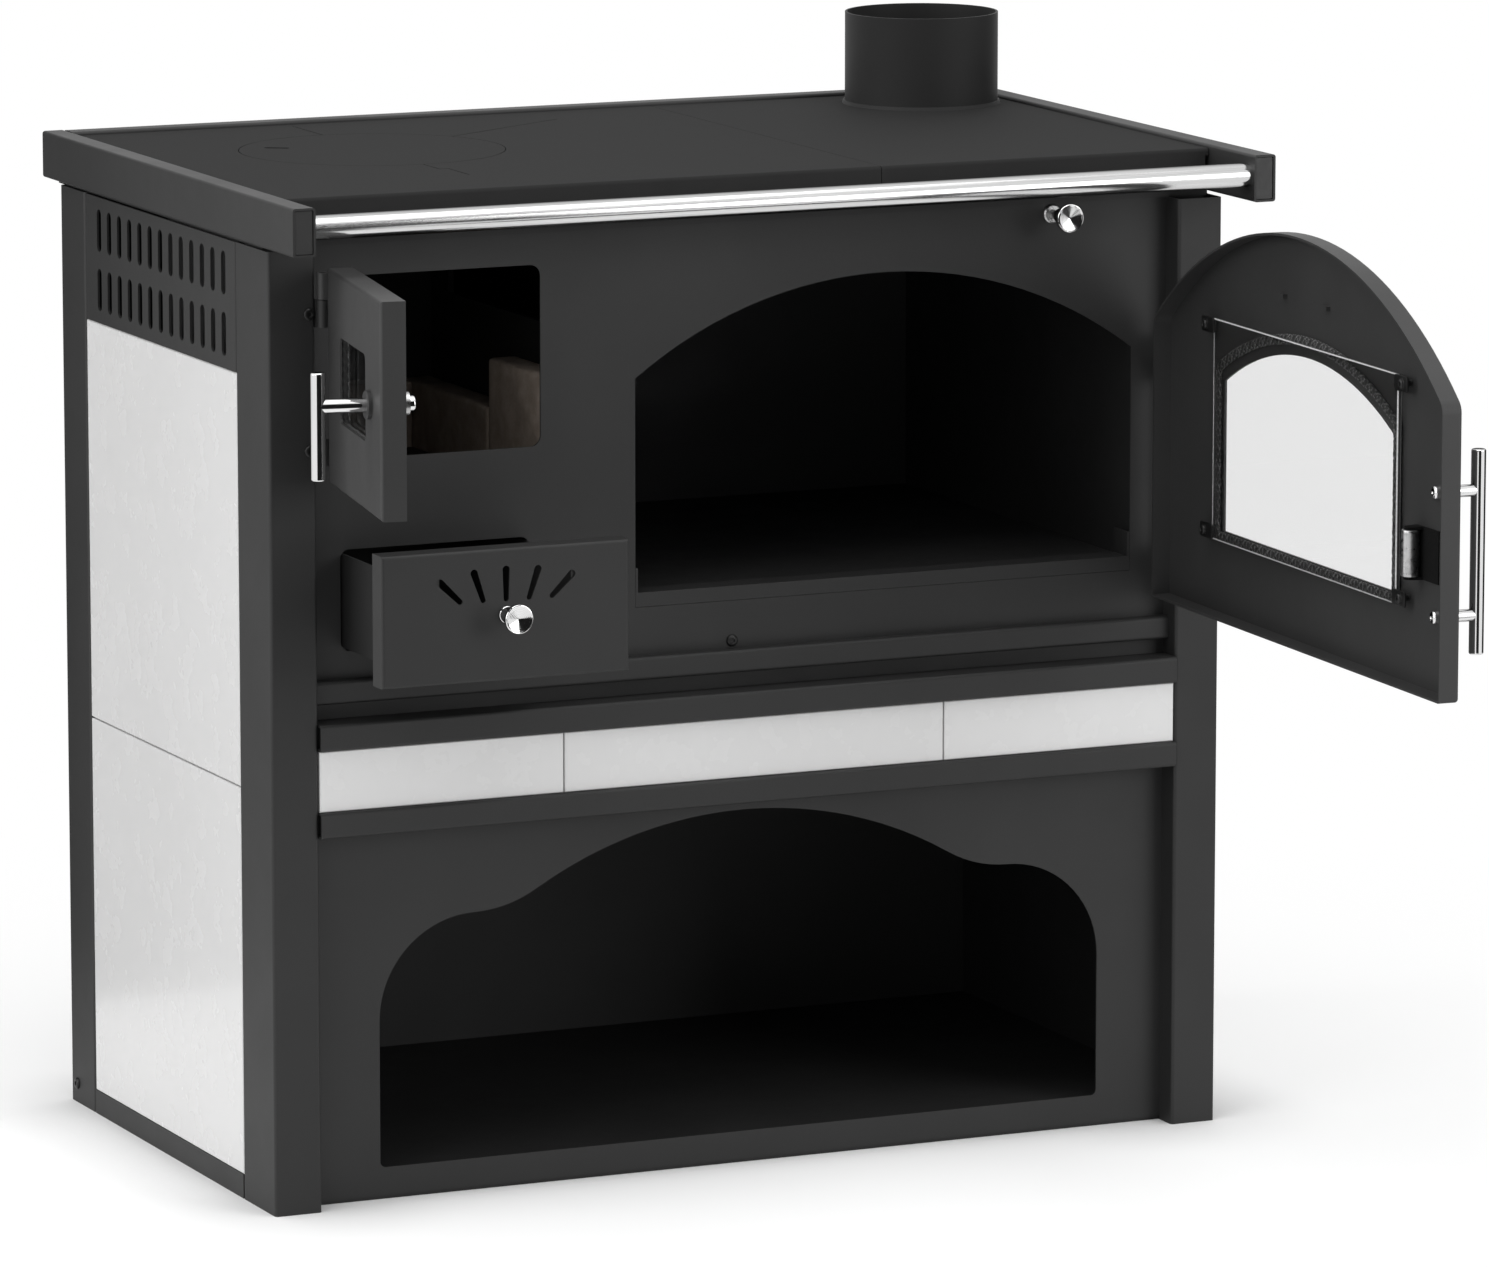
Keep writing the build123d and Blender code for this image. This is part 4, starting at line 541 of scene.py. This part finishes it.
def oven_rope():
    half, foot, top = 161.5 + 3.5 + 4.5, 539.0 - 0.5 - 4.5, 707.3 + 8.5 + 4.5
    radius = 344.8 + 8.5 + 4.5
    centre = top - radius
    spring = math.asin(half / radius)
    flat = [(-half, foot), (half, foot)]
    for step in range(41):
        angle = spring - 2 * spring * step / 40
        flat.append((radius * math.sin(angle), centre + radius * math.cos(angle)))
    place = door_place(OVEN, OVEN_MIDDLE, 0.0, DOOR_SKIN - 1.5)
    path = rounded_path([place(u, v, 0.0) for u, v in flat], 5.0)
    shape, gaps = braid(path, door_normal(OVEN), 9.0, 3.0, 8.0, 1.2)
    looks = (LOOKS["rope"], rope_gap_painted_shade)
    replaced = ("oven_rope",)
    add("rope_oven", shape.points, shape.faces, "oven_door", "rope", replaced, ROPE_SHARP, looks, gaps)


def fire_rope():
    half_x, half_z = 51.0 + 3.75, 35.25 + 3.75
    place = door_place(FIRE, FIRE_MIDDLE, FIRE_PANE_Z, DOOR_SKIN - 3.0)
    corners = [(-half_x, -half_z), (half_x, -half_z), (half_x, half_z), (-half_x, half_z)]
    path = rounded_path([place(u, v, 0.0) for u, v in corners], 9.0)
    shape, gaps = braid(path, door_normal(FIRE), 7.5, 6.0, 8.0, 1.2)
    looks = (dark_rope, rope_gap_painted_shade)
    replaced = ("firebox_rope",)
    add("rope_firebox", shape.points, shape.faces, "firebox_door", "rope", replaced, ROPE_SHARP, looks, gaps)


oven_rope()
fire_rope()


# Panes with ground edges, a painted highlight on their chamfers and painted shade on their sides

def pane(name, door, body, middle, half_x, low_z, high_z, front, look, replaced):
    """A pane whose edges are chamfered and ground; the chamfers take a painted highlight and the side faces
    painted shade.
    """
    arris = 0.9
    back = front - 4.0
    place = door_place(door, middle, 0.0, 0.0)
    rings = []
    for inset, out in ((arris, front), (0.0, front - arris), (0.0, back + arris), (arris, back)):
        x, low, high = half_x - inset, low_z + inset, high_z - inset
        rings.append([place(-x, low, out), place(x, low, out), place(x, high, out), place(-x, high, out)])
    shape = Shape()
    shape.rings(rings)
    looks = (look, edge_painted_highlight, edge_painted_shade)
    # Chamfers take the painted highlight, side faces the painted shade, the two large faces the glass.
    look_of = [1] * 4 + [2] * 4 + [1] * 4 + [0, 0]
    add(name, shape.points, shape.faces, body, "glass", replaced, 20.0, looks, look_of)


pane("pane_oven", OVEN, "oven_door", OVEN_MIDDLE, 177.3, 530.5, 718.3, -7.5, LOOKS["glass"], ("oven_glass",))
# The firebox pane takes the darkened glass: painted shade.
pane(
    "pane_firebox", FIRE, "firebox_door", FIRE_MIDDLE, 59.0, FIRE_PANE_Z - 43.5, FIRE_PANE_Z + 43.5, -10.5,
    painted_shade_glass, ("firebox_glass",),
)


# Turned knobs with a dished face and fine lathe rings

def knob(name, centre, reach, stem_length, stem_radius, foot_radius, foot_height, body, replaced):
    """A foot, a stem that flares to the head, and a dish turned into the head's face."""
    head, dish = 12.25, 3.0
    side = reach - 0.8
    start, end = Vector((stem_radius, stem_length)), Vector((head, side - 2.5))
    middle = Vector((start.x + (head - start.x) * 0.35, start.y + (reach - start.y) * 0.3))
    bend = middle * 2 - (start + end) / 2
    profile = [(foot_radius - 0.4, 0.0), (foot_radius, 0.4), (foot_radius, foot_height - 0.4)]
    profile += [(foot_radius - 0.4, foot_height)] if foot_radius > stem_radius else []
    for step in range(15):
        t = step / 14
        p = start * (1 - t) ** 2 + bend * 2 * t * (1 - t) + end * t * t
        profile.append((p.x, p.y))
    profile += [(head, side - 0.3), (head - 0.15, side + 0.2), (head - 0.5, reach - 0.1), (head - 0.9, reach)]
    for step in range(1, 12):
        radius = (head - 0.9) * (1 - step / 12)
        depth = dish * (1 - radius / head)
        profile.append((radius, reach - depth))
    place = plane_place(centre, (1, 0, 0), (0, 0, 1), (0, -1, 0))
    shape = Shape()
    shape.turned(place, profile, segments=72)
    add(name, shape.points, shape.faces, body, "chrome", replaced, 30.0, (turned_chrome(name, centre),))


def turned_chrome(name, centre):
    """Chrome with fine rings round the knob's axis."""
    s = Surface("chrome_" + name, grey(0.78), 0.08, 1.0, Specular_Tint=(0.12, 0.12, 0.12, 1.0))
    mapping = s.node("ShaderNodeMapping")
    s.set(mapping, "Vector", s.place)
    s.set(mapping, "Location", tuple(-c * MM for c in centre))
    wave = s.node("ShaderNodeTexWave", wave_type="RINGS", rings_direction="Y")
    s.set(wave, "Vector", mapping.outputs["Vector"])
    s.set(wave, "Scale", 220.0)
    s.set(wave, "Distortion", 0.6)
    s.set(wave, "Detail", 2.0)
    s.rough(s.spread(wave.outputs["Fac"], 0.06, 0.14, 0.0, 1.0))
    s.colour(s.blend(s.noise(60.0, 2.0), grey(0.74), grey(0.80)))
    s.bump(wave.outputs["Fac"], 0.00004, 0.8)
    return s.material


knob("knob_drawer", (-281.5, -374.0, 516.0), 28.0, 10.0, 5.0, 7.0, 3.0, "ash_drawer", ("ash_drawer_knob",))
knob("knob_damper", (285.6, -235.5, 796.0), 22.0, 4.0, 6.0, 6.0, 2.0, "damper", ("damper_knob",))


# Domed screws at the foot of the oven handle's posts, inside the door

def handle_screws():
    shape = Shape()
    for z in (529.1, 630.6):
        place = door_place(OVEN, -520.3, z, DOOR_SKIN - 2.5, inwards=True)
        profile = [(5.4, 0.0)]
        for step in range(1, 9):
            turn = math.radians(90 - step * 9.5)
            profile.append((5.4 * math.sin(turn), 2.4 * math.cos(turn)))
        profile += [(0.9, 2.1), (0.5, 1.5)]
        shape.turned(place, profile)
    add("screws_handle", shape.points, shape.faces, "oven_door", "chrome")


handle_screws()


# Clips on the panes, with their sleeves and screws

def clip_set(name, door, body, slot, rows, half_x, half_z, pane_out, replaced):
    shape = Shape()
    for x, z, shift_x, shift_z in rows:
        plate = door_place(door, x, z, pane_out, inwards=True)
        shape.plate(plate, half_x, half_z, 2.5, 0.0, 1.5, 0.5)
        screw = door_place(door, x + shift_x, z + shift_z, pane_out - 1.5, inwards=True)
        shape.turned(screw, [(4.9, 0.0), (4.9, 0.5), (4.5, 0.75), (3.9, 0.8)])
        shape.turned(screw, screw_profile(4.0, 2.6, 1.7, 1.3))
        sleeve = door_place(door, x + shift_x, z + shift_z, pane_out, inwards=True)
        length = DOOR_SKIN - pane_out
        waist = [(3.0, -length + 0.6), (2.7, -length + 0.9), (2.7, -0.9), (3.0, -0.5)]
        shape.turned(sleeve, [(3.0, -length)] + waist + [(3.0, 0.0)])
    add(name, shape.points, shape.faces, body, slot, replaced)


oven_clip_rows = [
    (OVEN_MIDDLE + side * 185.0, z, side * 3.0, 0.0) for side in (-1, 1) for z in (537.0, 712.0)
]
clip_set("clips_oven", OVEN, "oven_door", "dark_clip", oven_clip_rows, 12.0, 6.5, -11.5, ("oven_clips",))
fire_clip_rows = [
    (FIRE_MIDDLE + side * 40.0, FIRE_PANE_Z + up * 49.0, 0.0, up * 3.0)
    for side in (-1, 1) for up in (-1, 1)
]
clip_set(
    "clips_firebox", FIRE, "firebox_door", "zinc_steel", fire_clip_rows, 6.0, 10.0, -14.5, ("firebox_clips",),
)


# Screw heads of the cabinet

def cabinet_screws():
    shape = Shape()
    profile = screw_profile(5.0, 2.2, 1.9, 1.2)
    for z in (639.0, 752.0):
        shape.turned(plane_place((-400.0, POST_FRONT, z), (1, 0, 0), (0, 0, 1), (0, -1, 0)), profile)
    for side in (-1, 1):
        shape.turned(plane_place((side * 436.0, 228.0, 17.0), (0, 1, 0), (0, 0, 1), (side, 0, 0)), profile)
    shape.turned(plane_place((-11.5, PANEL_FRONT, 450.4), (1, 0, 0), (0, 0, 1), (0, -1, 0)), profile)
    add("screws_cabinet", shape.points, shape.faces, "cabinet", "dark_clip", ("cabinet_screws",))


cabinet_screws()


# Fire bricks with rough faces and worn edges

def rough_block(low, high, step, corner, depth, seed):
    """A block whose faces lie a little inside its limits, with softened edges."""
    shape = Shape()
    size = [high[i] - low[i] for i in range(3)]
    for axis in range(3):
        a, b = (axis + 1) % 3, (axis + 2) % 3
        na, nb = max(2, round(size[a] / step)), max(2, round(size[b] / step))
        for end in (0, 1):
            start = len(shape.points)
            for i in range(na + 1):
                for j in range(nb + 1):
                    p = [0.0, 0.0, 0.0]
                    p[axis] = high[axis] if end else low[axis]
                    p[a] = low[a] + size[a] * i / na
                    p[b] = low[b] + size[b] * j / nb
                    core = [min(max(p[k], low[k] + corner), high[k] - corner) for k in range(3)]
                    out = Vector([p[k] - core[k] for k in range(3)])
                    away = out.normalized() if out.length else Vector((0, 0, 0))
                    spot = Vector(p) * 0.045 + Vector((seed, seed * 2, 0))
                    dent = max(0.0, noise.noise(spot) + 0.6 * noise.noise(spot * 3.1) - 0.05)
                    pit = max(0.0, noise.noise(spot * 9.0) - 0.25) * 1.5
                    reach = corner - depth * (dent + 0.35 * pit)
                    shape.points.append(tuple(core[k] + away[k] * reach for k in range(3)))
            for i in range(na):
                for j in range(nb):
                    q = start + i * (nb + 1) + j
                    shape.faces.append((q, q + 1, q + nb + 2, q + nb + 1))
    return shape


def fire_bricks():
    left, right, thick = -391.0, -155.0, 27.0
    front, split, rear = -210.5, -98.5, 91.5
    middle = (left + right) / 2
    blocks = []
    for x0, x1 in ((left, left + thick), (right - thick, right)):
        blocks.append(((x0, front, 575.0), (x1, split - 0.4, 685.0)))
        blocks.append(((x0, split, 575.0), (x1, rear, 643.0)))
    for x0, x1 in ((left + thick + 0.4, middle - 0.2), (middle + 0.2, right - thick - 0.4)):
        blocks.append(((x0, rear - thick, 575.0), (x1, rear, 643.0)))
    whole = Shape()
    for seed, (low, high) in enumerate(blocks):
        block = rough_block(low, high, 4.0, 3.0, 1.3, seed * 7.3)
        base = len(whole.points)
        whole.points += block.points
        whole.faces += [tuple(base + i for i in face) for face in block.faces]
    add("bricks_firebox", whole.points, whole.faces, "cabinet", "firebrick", ("fire_bricks",), sharp=60.0)


fire_bricks()


# Catch roller: a turned sleeve with narrow grooves and rounded shoulders

def catch_roller():
    place_out = door_place(OVEN, -492.0, 0.0, -14.5)
    base = place_out(0.0, 0.0, 0.0)
    low, high = 556.5 + 2.4, 599.5 - 2.4
    up = plane_place((base[0], base[1], low), (1, 0, 0), (0, 1, 0), (0, 0, 1))
    length = high - low
    profile = [(2.2, 0.0), (6.6, 0.0), (7.2, 0.3), (7.5, 1.0), (7.5, 2.6), (7.2, 2.8), (7.2, 3.3), (7.5, 3.5)]
    profile += [(7.5, length - 3.5), (7.2, length - 3.3), (7.2, length - 2.8), (7.5, length - 2.6)]
    profile += [(7.5, length - 1.0), (7.2, length - 0.3), (6.6, length), (2.2, length)]
    shape = Shape()
    shape.turned(up, profile, segments=40)
    shape.faces = [f for f in shape.faces if len(f) == 4]
    bore = len(profile) - 1
    for j in range(40):
        k = (j + 1) % 40
        shape.faces.append((j, k, bore * 40 + k, bore * 40 + j))
    add("roller_catch", shape.points, shape.faces, "oven_roller", "zinc_steel", ("oven_latch_roller",))


catch_roller()


# Floor, backdrop, lamps and camera

FLOOR_SHADE = 0.8
FLOOR_GLOW = 0.34


def seen_rays(tree):
    """One for camera, glossy and transmission rays, nought for the light that falls on the object."""
    path = tree.nodes.new("ShaderNodeLightPath")
    last = path.outputs["Is Camera Ray"]
    for kind in ("Is Glossy Ray", "Is Transmission Ray"):
        seen = tree.nodes.new("ShaderNodeMath")
        seen.operation = "MAXIMUM"
        tree.links.new(last, seen.inputs[0])
        tree.links.new(path.outputs[kind], seen.inputs[1])
        last = seen.outputs[0]
    return last


def studio():
    mesh = bpy.data.meshes.new("floor")
    mesh.from_pydata([(-40, -40, 0), (40, -40, 0), (40, 40, 0), (-40, 40, 0)], [], [(0, 1, 2, 3)])
    floor = bpy.data.objects.new("floor", mesh)
    bpy.context.scene.collection.objects.link(floor)
    material = bpy.data.materials.new("floor")
    material.use_nodes = True
    tree = material.node_tree
    tree.nodes["Principled BSDF"].inputs["Base Color"].default_value = (FLOOR_SHADE,) * 3 + (1,)
    tree.nodes["Principled BSDF"].inputs["Roughness"].default_value = 1.0
    tree.nodes["Principled BSDF"].inputs["Specular IOR Level"].default_value = 0.0
    mesh.materials.append(material)
    seen = seen_rays(tree)
    near = tree.nodes.new("ShaderNodeEmission")
    tree.links.new(seen, near.inputs["Color"])
    # Close under the object the floor's own glow fades out, so its shadow stays
    shelter = tree.nodes.new("ShaderNodeAmbientOcclusion")
    shelter.samples = 8
    shelter.inputs["Distance"].default_value = 0.12
    squared = tree.nodes.new("ShaderNodeMath")
    squared.operation = "POWER"
    squared.inputs[1].default_value = 2.0
    tree.links.new(shelter.outputs["AO"], squared.inputs[0])
    dimmed = tree.nodes.new("ShaderNodeMath")
    dimmed.operation = "MULTIPLY"
    dimmed.inputs[1].default_value = FLOOR_GLOW
    tree.links.new(squared.outputs[0], dimmed.inputs[0])
    tree.links.new(dimmed.outputs[0], near.inputs["Strength"])
    joined = tree.nodes.new("ShaderNodeAddShader")
    tree.links.new(tree.nodes["Principled BSDF"].outputs[0], joined.inputs[0])
    tree.links.new(near.outputs[0], joined.inputs[1])
    coords = tree.nodes.new("ShaderNodeTexCoord")
    reach = tree.nodes.new("ShaderNodeVectorMath")
    reach.operation = "LENGTH"
    tree.links.new(coords.outputs["Object"], reach.inputs[0])
    fade = tree.nodes.new("ShaderNodeMapRange")
    fade.interpolation_type = "SMOOTHSTEP"
    fade.inputs["From Min"].default_value = 0.55
    fade.inputs["From Max"].default_value = 1.4
    tree.links.new(reach.outputs["Value"], fade.inputs["Value"])
    share = tree.nodes.new("ShaderNodeMath")
    share.operation = "MULTIPLY"
    tree.links.new(fade.outputs["Result"], share.inputs[0])
    tree.links.new(seen, share.inputs[1])
    far = tree.nodes.new("ShaderNodeEmission")
    mixed = tree.nodes.new("ShaderNodeMixShader")
    tree.links.new(share.outputs[0], mixed.inputs[0])
    tree.links.new(joined.outputs[0], mixed.inputs[1])
    tree.links.new(far.outputs[0], mixed.inputs[2])
    tree.links.new(mixed.outputs[0], tree.nodes["Material Output"].inputs[0])


def flag(name, place, facing, width, height):
    """A dark studio board, seen in polished surfaces alone."""
    side = Vector((-facing[1], facing[0], 0)).normalized() * (width / 2)
    rise = Vector((0, 0, height / 2))
    centre = Vector(place)
    mesh = bpy.data.meshes.new(name)
    corners = [centre - side - rise, centre + side - rise, centre + side + rise, centre - side + rise]
    mesh.from_pydata([tuple(c) for c in corners], [], [(0, 1, 2, 3)])
    board = bpy.data.objects.new(name, mesh)
    bpy.context.scene.collection.objects.link(board)
    board.visible_camera = False
    board.visible_diffuse = False
    board.visible_shadow = False
    board.visible_transmission = False
    material = bpy.data.materials.new(name)
    material.use_nodes = True
    bsdf = material.node_tree.nodes["Principled BSDF"]
    bsdf.inputs["Base Color"].default_value = (0.02, 0.02, 0.02, 1)
    bsdf.inputs["Roughness"].default_value = 1.0
    bsdf.inputs["Specular IOR Level"].default_value = 0.0
    mesh.materials.append(material)


def world():
    made = bpy.data.worlds.new("world")
    bpy.context.scene.world = made
    made.use_nodes = True
    tree = made.node_tree
    strength = tree.nodes.new("ShaderNodeMapRange")
    strength.inputs["To Min"].default_value = 0.50
    strength.inputs["To Max"].default_value = 1.0
    tree.links.new(seen_rays(tree), strength.inputs["Value"])
    background = tree.nodes["Background"]
    background.inputs["Color"].default_value = (1, 1, 1, 1)
    tree.links.new(strength.outputs["Result"], background.inputs["Strength"])


def lamp(name, place, target, width, height, watts):
    data = bpy.data.lights.new(name, "AREA")
    data.shape = "RECTANGLE"
    data.size = width
    data.size_y = height
    data.energy = watts
    made = bpy.data.objects.new(name, data)
    bpy.context.scene.collection.objects.link(made)
    made.location = place
    made.rotation_mode = "QUATERNION"
    made.rotation_quaternion = (Vector(target) - Vector(place)).to_track_quat("-Z", "Y")
    return made


def camera():
    data = bpy.data.cameras.new("camera")
    data.lens = 222.467
    data.clip_end = 100.0
    made = bpy.data.objects.new("camera", data)
    bpy.context.scene.collection.objects.link(made)
    yaw, pitch = 0.424768, 0.172731
    made.location = (-3.140080, -7.163240, 1.784946)
    ahead = Vector((math.sin(yaw) * math.cos(pitch), math.cos(yaw) * math.cos(pitch), -math.sin(pitch)))
    made.rotation_mode = "QUATERNION"
    made.rotation_quaternion = ahead.to_track_quat("-Z", "Y")
    bpy.context.scene.camera = made


studio()
world()
flag("flag_front", (0.0, -6.0, 2.6), (0, 1), 9.0, 3.4)
flag("flag_bars", (0.15, -2.6, 0.42), (0, 1), 1.4, 0.84)
flag("flag_fire_bar", (-0.47, -0.84, 0.56), (0, 1), 0.66, 0.30)
flag("flag_low", (0.45, -1.35, 0.12), (0, 1), 0.5, 0.24)
flag("flag_left", (-0.60, 0.62, 0.50), (0, -1), 0.32, 1.2)
flag("flag_right", (2.3, -0.2, 0.7), (-1, 0), 2.4, 1.4)
lamp("lamp_over", (-0.3, -0.9, 3.6), (0.0, 0.0, 0.5), 3.4, 2.6, 52.0)
lamp("lamp_left", (-3.6, 0.1, 1.8), (-0.2, 0.0, 0.5), 2.2, 2.4, 42.0)
lamp("lamp_front", (-2.6, -1.9, 1.5), (-0.3, -0.2, 0.5), 1.2, 1.4, 7.0)
lamp("lamp_right", (2.2, -3.6, 1.5), (0.1, -0.2, 0.5), 1.8, 2.2, 42.0)
camera()
bpy.context.scene.view_settings.view_transform = "Standard"
